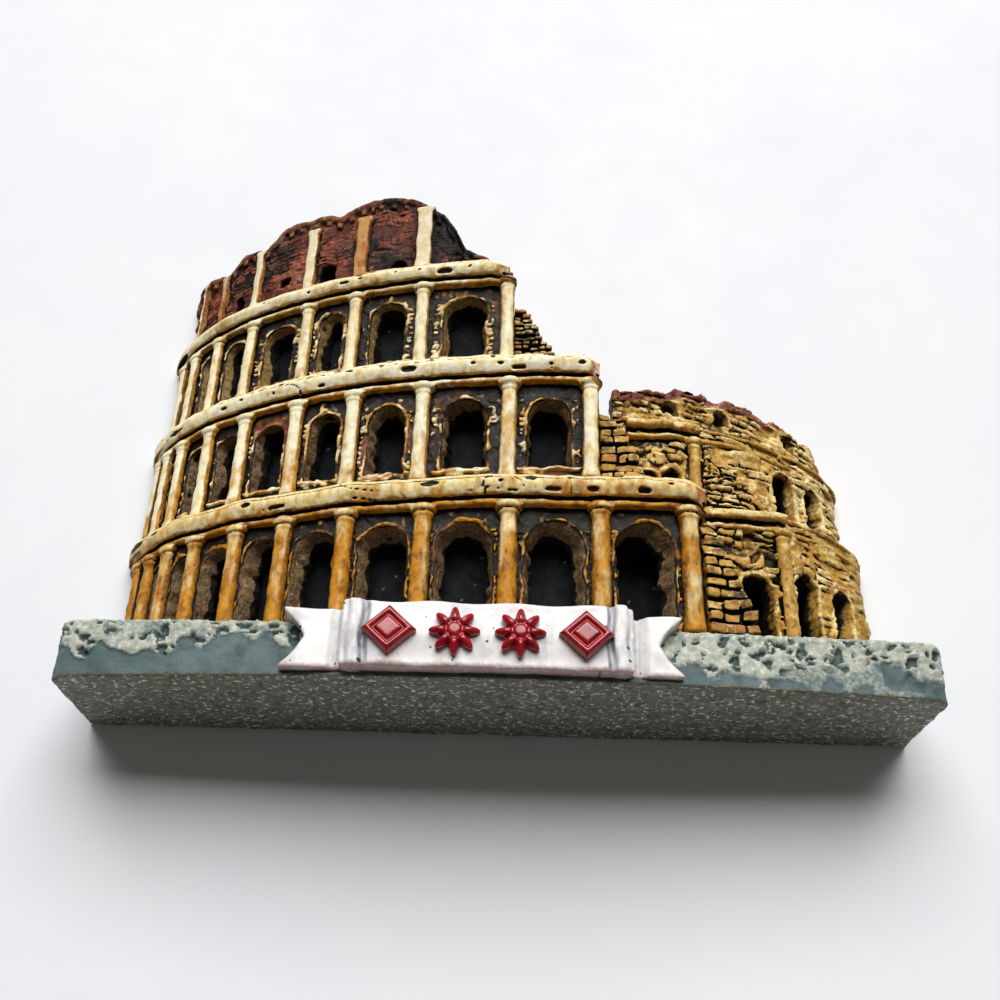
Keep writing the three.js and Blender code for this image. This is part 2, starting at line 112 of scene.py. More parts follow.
# A storey's cornice, up from the columns' tops: a thin strip, then a roll on a plinth.
CORNICE = dict(
    strip_low=0.16, strip_high=0.72, strip_front=1.1, roll_low=0.92, roll_front=1.95,
    plinth_front=1.5, sag=0.9,
)
ATTIC = dict(
    foot=49.9, top=59, face=2.6, right=-14.5, pilasters=(-24.2, -34.3, -43.5, -55.3, -65.4, -74.5),
    golden=(-34.3, -65.4),
    windows=((-28.1, 1.6, 0.6, 2.1), (-40.4, 1.7, 0.6, 3.6), (-49, 1.3, 2, 3.5), (-60.6, 1, 1.2, 3.4)),
)
ATTIC_CROWN = [
    (-89, 57.5), (-81, 60.2), (-73, 59.6), (-65, 57.9), (-61, 59.9), (-57, 59.5), (-54.5, 59),
    (-50, 61.4), (-45, 61.3), (-41, 61.2), (-38.7, 60.3), (-35, 61.7), (-31, 61.8), (-28, 61.3),
    (-25, 60.1), (-21.5, 58), (-19.5, 55.6), (-18, 52.6), (-16.4, 51.6), (-14.5, 50.8),
]

# bright: how much cream the shaft and the strip have; far_light: the same for the wall's far right;
# course and stone: height and length of its stones; heap: degrees and levels of a heap of stones
# against the wall; openings: degrees, width, sill and crown.
INNER_GROUND = dict(
    curve=INNER, foot=6, top=19.4, cornice_top=21.6, left=21.6, cornice_left=21.6, setback=0,
    column=41, radius=0.72, heavy_right=42, sag=1.1, seed=51, bright=0.12, far_light=0,
    course=0.95, stone=1.9,
    openings=[(33.5, 3, 5, 14.2), (47, 2.5, 5, 15.2), (61, 2.8, 5, 15)],
)
INNER_UPPER = dict(
    curve=INNER_MIDDLE, foot=21.9, top=28.9, cornice_top=31, left=4.5, cornice_left=7, setback=0.9,
    column=22.5, radius=0.62, heavy_right=24, sag=0.25, seed=67, bright=0.55, far_light=0.2,
    course=1.05, stone=2.3,
    heap=((23, 21.9), (25, 28.5), (41, 21.9)),
    openings=[(17.3, 2, 22.5, 25.5), (11.5, 1.6, 22.9, 24.9), (48, 2.5, 22.4, 28),
              (60.5, 2.3, 22.4, 27.8)],
)
PARAPET = dict(
    curve=INNER_TOP, foot=31.4, setback=1.4, holes=[18.5, 32.5, 57],
    tops=[34.9, 35.5, 35.9, 35.5, 35.8, 35, 35.7, 34.9, 35.3, 34.6, 35.1],
)

GROUND_RUBBLE = dict(
    left=19.4, foot=6, top=17.4, foot_width=4.3, top_width=0.9, back=11, front=14, lean=0.6,
    courses=10, seed=71,
)
SECOND_RUBBLE = dict(
    left=9.9, foot=21.9, top=30.4, foot_width=4.4, top_width=0.9, back=10.6, front=13.4,
    lean=0.5, courses=8, seed=73,
)
THIRD_BREAK = dict(
    left=1.1, foot=36.5, top=44.2, foot_width=4.4, top_width=0.9, back=9.2, front=12.2, lean=0.2,
    courses=12, seed=79,
)

RIBBON = dict(
    middle=-1.25, half_panel=12.75, left_end=-19.4, right_end=16, notch=2.3, low=0.6, panel_top=6.9,
    tail_top=6.4, front=17.2,
)
MOTIF = dict(height=4.7, thickness=0.8, pitch=5.7, petals=8)
MAGNET = dict(radius=8, thickness=2.5, glue=0.4)
MAGNETS = dict(left=(-16, 27), right=(20, 17))

# ---- Setting, in degrees and metres ----

# across: to the side of the part's middle; below: millimetres under the base's underside in the frame;
# lens: in millimetres, as the sensor's width is.
CAMERA = dict(tilt=60.53, yaw=-0.31, roll=1.906, lens=41.48, across=-0.000763, below=35.148, height=0.109411)
LIGHTS = dict(  # place, size and power of each
    window=((0.06, 1.36, 1.77), (2.2, 1.6), 71),
    fill=((0.3, -0.5, 0.8), (0.8, 0.8), 0.3),
)
WORLD = dict(colour=(1, 0.9, 0.8, 1), strength=0.05)
FLOOR_HALF = 4

# ---- Repeatable random numbers ----

LATTICE = 32
FAR = 9.0  # what a distance starts from before the nearest thing is found


def lattice(seed):
    """A block of random numbers that noise repeats in every direction."""
    return np.random.default_rng(seed).uniform(-1, 1, (LATTICE,) * 3)


def between_corners(table, cell, t):
    """Values of a table at the corners of each point's cell, mixed by how far across it the point is."""
    total = np.zeros(len(t))
    for corner in itertools.product((0, 1), repeat=3):
        weight = np.ones(len(t))
        for axis, side in enumerate(corner):
            weight *= t[:, axis] if side else 1 - t[:, axis]
        i, j, k = ((cell + corner) % table.shape).T
        total += weight * table[i, j, k]
    return total


def noise(points, size, seed):
    """A smooth random value from about -1 to 1 at each point; size is the width of its blobs."""
    at = np.asarray(points, float) / size + 0.37 * seed
    cell = np.floor(at).astype(int)
    t = at - cell
    return np.clip(1.5 * between_corners(lattice(seed), cell, t * t * (3 - 2 * t)), -1.2, 1.2)


def rough(points, size, seed, octaves=3):
    """Noise with finer noise on it."""
    total = np.zeros(len(points))
    for octave in range(octaves):
        total += noise(points, size / 2**octave, seed + octave) * 0.5**octave
    return total / (2 - 0.5 ** (octaves - 1))


def scatter(*numbers):
    """A repeatable random number from 0 to 1 for each set of whole numbers."""
    mixed = sum(np.asarray(n, float) * k for n, k in zip(numbers, (127.1, 311.7, 74.7, 191.3)))
    return np.mod(np.sin(mixed) * 43758.5453, 1)


def flat_noise(u, v, size, seed):
    """Noise on a sheet, where u and v broadcast against each other."""
    u, v = np.broadcast_arrays(u, v)
    points = np.stack([u.ravel(), v.ravel(), np.full(u.size, 3.1 * seed)], axis=1)
    return noise(points, size, seed).reshape(u.shape)


def spots(u, v, size, seed, share=1.0):
    """Distance to the nearest of some scattered points, as a share of size, with its number."""
    u, v = np.broadcast_arrays(np.asarray(u, float), np.asarray(v, float))
    column, row = np.floor(u / size), np.floor(v / size)
    best = np.full(u.shape, FAR)
    name = np.zeros(u.shape)
    for i, j in itertools.product((-1, 0, 1), repeat=2):
        a, b = column + i, row + j
        centre_u = (a + 0.15 + 0.7 * scatter(a, b, seed)) * size
        centre_v = (b + 0.15 + 0.7 * scatter(a, b, seed + 1)) * size
        away = np.hypot(u - centre_u, v - centre_v) / size
        away = np.where(scatter(a, b, seed + 2) < share, away, FAR)
        nearer = away < best
        best = np.where(nearer, away, best)
        name = np.where(nearer, scatter(a, b, seed + 3), name)
    return best, name


def masonry(u, v, course, length, seed, waver=0.25):
    """Distance to the nearest joint of a wall of stones, and a random number for each stone."""
    v = v + waver * course * flat_noise(u, v, 3 * course, seed)
    u = u + waver * course * flat_noise(u, v, 2 * course, seed + 1)
    row = np.floor(v / course)
    size = length * (0.75 + 0.5 * scatter(row, seed))
    at = u / size + 7 * scatter(row, seed + 3)
    stone = np.floor(at)
    across = (0.5 - np.abs(at - stone - 0.5)) * size
    along = (0.5 - np.abs(v / course - row - 0.5)) * course
    return np.minimum(across, along), scatter(row, stone, seed)


# ---- Fields ----


def step_up(value, low, high):
    """Rises smoothly from 0 to 1 as the value goes from low to high."""
    t = np.clip((value - low) / (high - low), 0, 1)
    return t * t * (3 - 2 * t)


def hump(away, width):
    """A smooth bump of height 1 where away is 0."""
    return np.exp(-((away / width) ** 2))


def meet(*fields):
    """What lies inside all of the fields."""
    return functools.reduce(np.maximum, fields)


def join(*fields):
    """What lies inside any of the fields."""
    return functools.reduce(np.minimum, fields)


def soft_join(a, b, radius):
    """The union of two fields with a fillet between them."""
    h = np.clip(0.5 + 0.5 * (b - a) / radius, 0, 1)
    return b * (1 - h) + a * h - radius * h * (1 - h)


def soft_meet(a, b, radius):
    """What lies inside both fields, with a rounded edge between them."""
    return -soft_join(-a, -b, radius)


def soft_cut(a, tool, radius):
    """The first field without the second, with a rounded edge between them."""
    return -soft_join(-a, tool, radius)


def box_field(x, y, z, low, high, radius=0.0):
    """A box with rounded edges."""
    middle = [(a + b) / 2 for a, b in zip(low, high)]
    half = [(b - a) / 2 - radius for a, b in zip(low, high)]
    dx, dy, dz = (np.abs(c - m) - h for c, m, h in zip((x, y, z), middle, half))
    outside = np.sqrt(np.maximum(dx, 0) ** 2 + np.maximum(dy, 0) ** 2 + np.maximum(dz, 0) ** 2)
    return outside + np.minimum(meet(dx, dy, dz), 0) - radius


def outline_field(x, y, corners):
    """Distance to a closed outline, negative inside it."""
    x, y = np.broadcast_arrays(np.asarray(x, float), np.asarray(y, float))
    nearest = np.full(x.shape, 1e9)
    inside = np.zeros(x.shape, bool)
    for (ax, ay), (bx, by) in zip(corners, corners[1:] + corners[:1]):
        ex, ey = bx - ax, by - ay
        t = np.clip(((x - ax) * ex + (y - ay) * ey) / (ex * ex + ey * ey), 0, 1)
        nearest = np.minimum(nearest, np.hypot(x - ax - t * ex, y - ay - t * ey))
        crosses = (ay > y) != (by > y)
        with np.errstate(divide="ignore", invalid="ignore"):
            inside ^= crosses & (x < ax + (y - ay) * ex / ey)
    return np.where(inside, -nearest, nearest)


def arch_field(u, v, half, sill, crown):
    """A round-headed opening on the face of a wall."""
    spring = crown - half
    side = np.where(v > spring, np.hypot(u, v - spring), np.abs(u)) - half
    return np.maximum(side, sill - v)


class Grid:
    """A block of sample points; u, v and w broadcast to the whole block."""

    def __init__(self, low, high, step):
        self.low = np.array(low, float)
        self.step = step
        counts = [int(math.ceil((b - a) / step)) + 1 for a, b in zip(low, high)]
        axes = [a + step * np.arange(n) for a, n in zip(low, counts)]
        self.u = axes[0][:, None, None]
        self.v = axes[1][None, :, None]
        self.w = axes[2][None, None, :]
        self.flat_u, self.flat_v = self.u[:, :, 0], self.v[:, :, 0]
        self.shape = tuple(counts)

    def ripple(self, size, seed):
        """Noise over u and v."""
        return flat_noise(self.flat_u, self.flat_v, size, seed)

    def wave(self, size, seed):
        """Noise along u alone."""
        return flat_noise(self.flat_u, 0 * self.flat_v, size, seed)

    def sample(self, field, points):
        """The field between its samples."""
        at = (points - self.low) / self.step
        at = np.clip(at, 0, np.array(self.shape) - 1.001)
        cell = at.astype(int)
        return between_corners(field, cell, at - cell)

    def sheet(self, values, points):
        """Values given over u and v alone, between their samples."""
        flat = np.broadcast_to(values, self.shape[:2])[..., None]
        return self.sample(np.repeat(flat, 2, axis=2), points * [1, 1, 0] + [0, 0, self.low[2]])


def skin(field, grid):
    """Points and quads of the closed surface where a sampled field crosses zero."""
    field = np.pad(field, 1, constant_values=grid.step)
    inside = field < 0
    cells = tuple(n - 1 for n in field.shape)
    filled = np.zeros(cells, np.int8)
    for i, j, k in itertools.product((0, 1), repeat=3):
        filled += inside[i:i + cells[0], j:j + cells[1], k:k + cells[2]]
    active = (filled > 0) & (filled < 8)
    index = np.full(cells, -1, np.int32)
    index[active] = np.arange(active.sum())
    where = np.argwhere(active)
    total = np.zeros((len(where), 3))
    count = np.zeros(len(where))
    for axis in range(3):
        others = [a for a in range(3) if a != axis]
        for i, j in itertools.product((0, 1), repeat=2):
            start = where.copy()
            start[:, others[0]] += i
            start[:, others[1]] += j
            end = start.copy()
            end[:, axis] += 1
            a, b = field[tuple(start.T)], field[tuple(end.T)]
            crosses = (a < 0) != (b < 0)
            point = start[crosses].astype(float)
            point[:, axis] += a[crosses] / (a[crosses] - b[crosses])
            total[crosses] += point
            count[crosses] += 1
    points = grid.low - grid.step + total / count[:, None] * grid.step
    quads = []
    for axis in range(3):
        b, c = (axis + 1) % 3, (axis + 2) % 3
        length = inside.shape[axis] - 1
        first = np.take(inside, range(length), axis)
        second = np.take(inside, range(1, length + 1), axis)
        edges = np.argwhere(first != second)
        ring = []
        for db, dc in ((-1, -1), (0, -1), (0, 0), (-1, 0)):
            cell = edges.copy()
            cell[:, b] += db
            cell[:, c] += dc
            ring.append(index[tuple(cell.T)])
        quad = np.stack(ring, axis=1)
        backward = ~first[tuple(edges.T)]
        quad[backward] = quad[backward][:, ::-1]
        quads.append(quad)
    return points, np.concatenate(quads)


def point_normals(points, quads):
    """The direction each point faces, from the quads round it."""
    a, b, c, d = (points[quads[:, i]] for i in range(4))
    face = np.cross(c - a, d - b)
    normal = np.stack(
        [sum(np.bincount(quads[:, i], face[:, k], len(points)) for i in range(4)) for k in range(3)],
        axis=1,
    )
    return normal / np.maximum(np.linalg.norm(normal, axis=1, keepdims=True), 1e-12)


def relax(points, quads, rounds, amount=0.5):
    """Draws each point towards the middle of its neighbours, which takes off the grid's own steps."""
    starts = np.concatenate([quads[:, i] for i in range(4)])
    ends = np.concatenate([quads[:, (i + 1) % 4] for i in range(4)])
    a, b = np.concatenate([starts, ends]), np.concatenate([ends, starts])
    count = np.bincount(a, minlength=len(points))[:, None]
    for _ in range(rounds):
        total = np.stack([np.bincount(a, points[b, k], len(points)) for k in range(3)], axis=1)
        points = points + amount * (total / count - points)
    return points


# ---- Curved walls ----


def settle(curve, x, level):
    """The forced perspective of the relief: level lines fall towards the far end of each wall."""
    across = (x - CENTRE_X) / (curve["half_width"] + DROP_MARGIN)
    turned = 1 - np.sqrt(np.maximum(0, 1 - across * across))
    above = np.maximum(0, level - BASE["height"])
    return level - curve["drop"] * above ** curve["power"] * turned


class Bend:
    """Bends flat points (along, level, out) round a wall; out counts from one inset of its plan."""

    def __init__(self, curve, inset):
        self.curve = curve
        self.half = curve["half_width"] - inset
        self.deep = curve["depth"] - inset
        self.ratio = curve["depth"] / curve["half_width"]
        self.angles = np.radians(np.linspace(-89.9, 89.9, 3000))
        x, z = self.half * np.sin(self.angles), self.deep * np.cos(self.angles)
        lengths = np.concatenate([[0], np.cumsum(np.hypot(np.diff(x), np.diff(z)))])
        self.lengths = lengths - np.interp(0, self.angles, lengths)

    def along(self, degrees):
        """Length along the wall of a place given in degrees round its plan."""
        return np.interp(np.radians(degrees), self.angles, self.lengths)

    def degrees(self, along):
        """Degrees round the plan of a length along the wall."""
        return np.degrees(np.interp(along, self.lengths, self.angles))

    def bend(self, points):
        """Flat points moved to their places round the plan, and lowered by the forced perspective."""
        angle = np.interp(points[:, 0], self.lengths, self.angles)
        facing = np.arctan(self.ratio * np.tan(angle))
        sin, cos = np.sin(angle), np.cos(angle)
        round_radius = ((self.half * cos) ** 2 + (self.deep * sin) ** 2) ** 1.5 / (self.half * self.deep)
        out = np.maximum(points[:, 2] * np.cos(angle - facing), -0.8 * round_radius)
        x = CENTRE_X + self.half * sin + out * np.sin(facing)
        z = self.deep * cos + out * np.cos(facing)
        return np.stack([x, settle(self.curve, x, points[:, 1]), np.maximum(z, 0.05)], axis=1)


def slimming(degrees):
    """Columns grow slimmer as the wall turns away."""
    return 0.55 + 0.45 * math.cos(math.radians(degrees))


def nearest_arch(grid, bend, openings, base=0):
    """Distance over a wall's face to the nearest opening: degrees, width, sill and crown above a base."""
    nearest = np.full(grid.shape[:2], FAR)
    for degrees, width, sill, crown in openings:
        across = grid.flat_u - bend.along(degrees)
        nearest = np.minimum(nearest, arch_field(across, grid.flat_v, width / 2, base + sill, base + crown))
    return nearest


def slab(grid, face, depth, left, right, low, high):
    """A wall with a sculpted face between two ends and two levels."""
    u, v, w = grid.u, grid.v, grid.w
    return meet(w - face[..., None], -w - depth + grid.step, u - right, left - u, low - v, v - high)


def pierced(grid, wall, opening, radius):
    """The wall with its openings, which narrow a little with depth."""
    return soft_cut(wall, opening[..., None] + 0.05 * np.maximum(0, -grid.w), radius)


# ---- Materials ----


def linear(colour):
    """A hex colour as the linear RGBA that shaders take."""
    parts = [int(colour[i:i + 2], 16) / 255 for i in (0, 2, 4)]
    return [p / 12.92 if p <= 0.04045 else ((p + 0.055) / 1.055) ** 2.4 for p in parts] + [1]


class Paint:
    """A procedural painted finish, built up in layers over a ground colour."""

    def __init__(self, name, roughness, specular=0.5):
        self.material = bpy.data.materials.new(name)
        self.material.use_nodes = True
        self.tree = self.material.node_tree
        self.shader = self.tree.nodes["Principled BSDF"]
        self.shader.inputs["Specular IOR Level"].default_value = specular
        self.place = self.tree.nodes.new("ShaderNodeTexCoord").outputs["Object"]
        self.rough_range = roughness
        self.colour = None
        self.seed = 0

    def node(self, kind, settings=(), inputs=()):
        """A shader node; an input is either a value or another node's output."""
        made = self.tree.nodes.new(kind)
        for key, value in dict(settings).items():
            setattr(made, key, value)
        for key, value in dict(inputs).items():
            if isinstance(value, bpy.types.NodeSocket):
                self.tree.links.new(value, made.inputs[key])
            else:
                made.inputs[key].default_value = value
        return made

    def math(self, operation, a, b):
        """A sum, product or the like of two values."""
        return self.node("ShaderNodeMath", {"operation": operation}, {0: a, 1: b}).outputs[0]

    def mottle(self, size, detail=3.0, stretch=(1, 1, 1), sharp=0.55):
        """Noise whose blobs are size millimetres wide."""
        self.seed += 1
        moved = self.node("ShaderNodeMapping", {}, {
            "Vector": self.place, "Location": [0.013 * self.seed] * 3, "Scale": [1 / s for s in stretch],
        })
        made = self.node("ShaderNodeTexNoise", {}, {
            "Vector": moved.outputs[0], "Scale": 1 / (size * MM), "Detail": detail, "Roughness": sharp,
        })
        return made.outputs[0]

    def attribute(self, name):
        """A mask stored on the mesh's points."""
        return self.node("ShaderNodeAttribute", {"attribute_name": name}).outputs["Fac"]

    def spread(self, value, low, high, out_low=0.0, out_high=1.0):
        """A value from one range moved to another, and kept in it."""
        made = self.node("ShaderNodeMapRange", {"clamp": True}, {
            "Value": value, "From Min": low, "From Max": high, "To Min": out_low, "To Max": out_high,
        })
        return made.outputs[0]

    def mix(self, factor, a, b):
        """Colour a where the factor is 0, and b where it is 1."""
        made = self.node("ShaderNodeMix", {"data_type": "RGBA", "clamp_factor": True})
        for socket, value in ((made.inputs[0], factor), (made.inputs[6], a), (made.inputs[7], b)):
            if isinstance(value, bpy.types.NodeSocket):
                self.tree.links.new(value, socket)
            else:
                socket.default_value = value
        return made.outputs[2]

    def varied(self, colours, size, stretch=(1, 1, 1)):
        """Two or three paint colours that run into each other."""
        shades = [linear(c) for c in colours]
        first = self.spread(self.mottle(size, stretch=stretch), 0.38, 0.62)
        made = self.mix(first, shades[0], shades[1])
        if len(shades) == 2:
            return made
        second = self.spread(self.mottle(size * 0.55, stretch=stretch), 0.5, 0.66)
        return self.mix(second, made, shades[2])

    def ground(self, colours, size):
        """The first coat, over everything."""
        self.colour = self.varied(colours, size)

    def layer(self, mask, colours, size=1.0, breakup=0.5, grain=0.5, edge=0.12, stretch=(1, 1, 1), amount=1):
        """Paints where a mask of the mesh is high, with an edge that noise breaks up."""
        wanted = self.attribute(mask)
        centred = self.math("SUBTRACT", self.mottle(grain, stretch=stretch), 0.5)
        torn = self.math("MULTIPLY", centred, 2 * breakup)
        covered = self.spread(self.math("ADD", wanted, torn), 0.5 - edge, 0.5 + edge)
        if amount != 1:
            covered = self.math("MULTIPLY", covered, amount)
        self.colour = self.mix(covered, self.colour, self.varied(colours, size, stretch))

    def finish(self, bump, bump_size, coat=0.0):
        """bump is the height in millimetres of the fine grain."""
        self.tree.links.new(self.colour, self.shader.inputs["Base Color"])
        low, high = self.rough_range
        roughness = self.spread(self.mottle(bump_size * 2), 0.3, 0.7, low, high)
        self.tree.links.new(roughness, self.shader.inputs["Roughness"])
        coarse = self.mottle(bump_size, 4.0)
        grains = self.math("ADD", coarse, self.math("MULTIPLY", self.mottle(bump_size * 0.35), 0.5))
        made = self.node("ShaderNodeBump", {}, {"Height": grains, "Distance": bump * MM, "Strength": 1.0})
        self.tree.links.new(made.outputs[0], self.shader.inputs["Normal"])
        if coat:
            self.shader.inputs["Coat Weight"].default_value = coat
            self.shader.inputs["Coat Roughness"].default_value = 0.15
        return self.material


def facade_paint(name, ochre, cream, lining=("6f583c", "9a8160", "463624")):
    """Ochre body colour over near-black, with brushed cream that is partly painted highlight, and a
    near-black wash that is partly painted shade.
    """
    paint = Paint(name, (0.42, 0.68), 0.22)
    paint.ground(("19160f", "28221a"), 1.5)
    paint.layer("cover", ochre, size=1.4, breakup=0.4, grain=0.4, stretch=(1, 1.6, 1))
    paint.layer("lining", lining, size=0.22, breakup=0.4, grain=0.25, edge=0.2)
    # Orange-brown paint, also laid on sides and undersides as painted shade.
    paint.layer("warm_tone_and_shade", ("7c4a1c", "93602a", "553315"), size=0.7, breakup=0.5, grain=0.4, edge=0.2)
    paint.layer("red", ("8c4e33", "a9643f", "6f3a28"), size=1.2, breakup=0.5, grain=0.6, edge=0.2)
    # Brushed cream, also laid on faces turned up and out as painted highlight.
    paint.layer("light", cream, size=1.1, breakup=0.5, grain=0.6, edge=0.26, stretch=(1, 2.2, 1))
    # Near-black in hollows, grooves, gouges and deep in recesses, as painted shade.
    paint.layer("wash_and_shade", ("15130f", "211c15"), size=0.7, breakup=0.4, grain=0.28, edge=0.16)
    return paint.finish(bump=0.035, bump_size=0.3)


# ---- Pieces ----


def add_piece(name, shape, material, masks, bend=None):
    """Puts a sculpted shape in the place of the part's node of that name, on the one body."""
    points = shape.points if bend is None else bend.bend(shape.points)
    quads = shape.quads
    placed = (points + [0, UNDERSIDE, 0]) * MM
    mesh = bpy.data.meshes.new(name)
    mesh.vertices.add(len(placed))
    mesh.vertices.foreach_set("co", placed.astype(np.float32).ravel())
    mesh.loops.add(quads.size)
    mesh.loops.foreach_set("vertex_index", quads.astype(np.int32).ravel())
    mesh.polygons.add(len(quads))
    mesh.polygons.foreach_set("loop_start", np.arange(0, quads.size, 4, dtype=np.int32))
    mesh.update(calc_edges=True)
    mesh.shade_smooth()
    for key, values in masks.items():
        layer = mesh.attributes.new(key, "FLOAT", "POINT")
        layer.data.foreach_set("value", np.asarray(values, np.float32))
    mesh.materials.append(material)
    made = bpy.data.objects.new(name, mesh)
    bpy.context.scene.collection.objects.link(made)
    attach(made, "root")
    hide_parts(name)


class Shape:
    """One sculpted sub-part: its skin, the directions it faces, and how open each place is."""

    def __init__(self, grid, field, whole=None, smooth=1):
        self.grid = grid
        self.points, self.quads = skin(field, grid)
        self.points = relax(self.points, self.quads, smooth)
        self.normals = point_normals(self.points, self.quads)
        self.whole = field if whole is None else whole

    def openness(self, reach):
        """1 on open faces and edges, towards 0 in hollows narrower than reach."""
        away = self.grid.sample(self.whole, self.points + self.normals * reach)
        return np.clip(away / reach, 0, 1)

    def sharpness(self, reach):
        """Towards 1 on edges and corners that stick out."""
        away = self.grid.sample(self.whole, self.points - self.normals * reach)
        return np.clip(1 + away / reach, 0, 1)

    def push(self, amount):
        """Moves every point along the direction it faces."""
        self.points = self.points + self.normals * np.asarray(amount)[:, None]


def dome(x):
    """A round bump of height 1 between -1 and 1."""
    return np.sqrt(np.clip(1 - x * x, 0, 1))


def column_field(u, v, w, centre, out, radius, foot, top):
    """A round column with a base ring, a neck and a flat cushion for a capital."""
    up = (v - foot) / (top - foot)
    ring = 0.16 * dome((v - foot - 0.35) / 0.5)
    cushion = 0.5 * dome((v - top + 0.4) / 0.44)
    neck = 0.17 * dome((v - top + 1.12) / 0.22)
    lean = 0.12 * math.sin(7 * centre)
    worn = 1 + 0.06 * np.sin(2.1 * v + centre) * np.sin(0.9 * v + 2 * centre)
    thick = radius * ((1.0 - 0.06 * up) * worn + meet(ring, cushion, neck))
    across = u - centre - lean * (up - 0.5)
    return meet(np.hypot(across, w - out) - thick, foot - v, v - top)


def moulding_field(v, w, low, high, front):
    """A roll moulding whose underside slopes back."""
    height = high - low
    roll = box_field(v, w, 0, (low, -3, -9), (high, front, 9), min(0.42 * height, 0.8))
    lip = 0.5 * height
    slope = ((w - front + 0.5) * lip - (v - low) * 0.5) / math.hypot(lip, 0.5)
    return soft_meet(roll, slope, 0.25)


def storey_openings(storey, bend, grid):
    """Distance over the wall's face to the nearest arch with hand-cut edges, and its flare there."""
    u, v = grid.flat_u, grid.flat_v
    columns = storey["columns"]
    opening = np.full(grid.shape[:2], FAR)
    flare = np.zeros(opening.shape)
    for right, left, (left_flare, right_flare) in zip(columns, columns[1:], storey["flares"]):
        middle = bend.along((left + right) / 2)
        half = (bend.along(right) - bend.along(left)) * storey["width"] / 2
        hole = arch_field(u - middle, v, half, storey["sill"], storey["crown"])
        to_right = step_up(u - middle, -0.6 * half, 0.6 * half) + 0 * v
        here = left_flare + (right_flare - left_flare) * to_right
        flare = np.where(hole < opening, here, flare)
        opening = np.minimum(opening, hole)
    ragged = 0.13 * grid.ripple(1.7, storey["seed"]) + 0.07 * grid.ripple(0.5, storey["seed"] + 1)
    return opening + ragged, flare


def quoins(storey, grid, opening):
    """Small blocks stacked in strips beside the openings."""
    block = 0.62
    strip = np.abs(opening - 0.72 - 0.1 * grid.ripple(2, storey["seed"] + 15)) - 0.3
    rank = grid.flat_v / block + 0.4 * np.sin(grid.flat_u)
    seam = np.abs(rank - np.floor(rank) - 0.5) * block
    shown = grid.ripple(2.6, storey["seed"] + 16) > -0.25
    straight = grid.flat_v < storey["crown"] - 0.9
    return np.where(shown & straight, step_up(-np.maximum(strip, seam - 0.25), -0.03, 0.08), 0)


def storey_wall_face(storey, grid, opening):
    """How far the wall's face stands out: rims, quoins, sills and nicks."""
    seed, v = storey["seed"], grid.flat_v
    face = 0.14 * grid.ripple(0.9, seed + 2) + 0.1 * grid.ripple(0.4, seed + 3)
    broken = step_up(grid.ripple(1.1, seed + 5), -0.55, 0.1)
    rim = 0.26 * broken * hump(opening - 0.2, 0.16)
    blocks = 0.24 * quoins(storey, grid, opening)
    nick, _ = spots(grid.flat_u, v, 0.9, seed + 4, 0.5)
    nicks = 0.28 * step_up(-nick, -0.3, -0.12) * step_up(opening, 0.3, 0.6)
    sill_top = max(storey["sill"] - 0.15, storey["foot"] + 0.5) + 0.15 * grid.wave(0.8, seed + 6)
    kept = step_up(grid.wave(1.4, seed + 7), -0.5, -0.2)
    ledge = 0.5 * step_up(sill_top - v, 0, 0.12) * step_up(v - sill_top + 0.5, 0, 0.15) * kept
    return np.maximum(face + rim + blocks - nicks, ledge)


def storey_wall(storey, grid, bend, left, right):
    """The arcaded wall, with the distance over its face to the nearest opening."""
    opening, flare = storey_openings(storey, bend, grid)
    face = storey_wall_face(storey, grid, opening)
    wall = slab(grid, face, WALL_DEPTH, left, right, storey["foot"] - 0.3, storey["cornice_top"] - 0.6)
    lump = 0.16 * grid.ripple(0.8, storey["seed"] + 18)[..., None] * step_up(-grid.w, 0.1, 0.8)
    tunnel = opening[..., None] + flare[..., None] * np.maximum(0, -grid.w) + lump
    return soft_cut(wall, tunnel, 0.12), opening


def storey_wall_masks(storey, shape, opening):
    """Bare shadow paint with stone colour on rims, quoins and sills and a little way into the arches;
    painted highlight on raised faces turned up, and painted shade in hollows and deep in the arches.
    """
    seed, highlight, p = storey["seed"], storey["highlight"], shape.points
    edge = shape.grid.sheet(opening, p)
    depth = -p[:, 2]
    inside = step_up(0.06 - edge, 0, 0.12) * step_up(depth, 0, 0.2)
    open_near = shape.openness(0.35)
    shape.push(0.05 * rough(p, 0.7, seed + 21) + 0.08 * inside * rough(p, 0.45, seed + 20))
    blob, small = noise(p, 2.2, seed + 22), noise(p, 0.6, seed + 19)
    rim = hump(edge - 0.2, 0.18) * step_up(0.35 - depth, 0, 0.2)
    raised = step_up(p[:, 2], 0.08, 0.26)
    above_sill = p[:, 1] - max(storey["sill"], storey["foot"] + 0.5)
    sill = hump(above_sill + 0.2, 0.35) * raised * (1 - inside)
    limit = storey["painted"] + 0.35 * blob + 0.25 * small
    # Cream on raised faces turned up: painted highlight.
    lit = raised * step_up(shape.normals[:, 2], 0.3, 0.9)
    return {
        "lining": inside * step_up(limit - depth, -0.25, 0.25) + 0.3 * inside * (depth < limit),
        "cover": 0.7 * raised - 0.05 + 0.1 * highlight + 0.3 * blob + 0.4 * rim + 0.5 * sill,
        "warm_tone_and_shade": 0.3 * rim + 0.3 * noise(p, 1.3, seed + 27) + 0.2 * sill,
        "light": lit * (0.22 + 0.4 * highlight) + 0.2 * small + 0.05 * sill,
        "red": storey["ruddy"] + 0.45 * noise(p, 4.5, seed + 23) - inside,
        # Painted shade in hollows and deep in the arches.
        "wash_and_shade": np.maximum(1.1 * (1 - open_near) - 0.15, step_up(depth, limit, limit + 0.5)),
    }


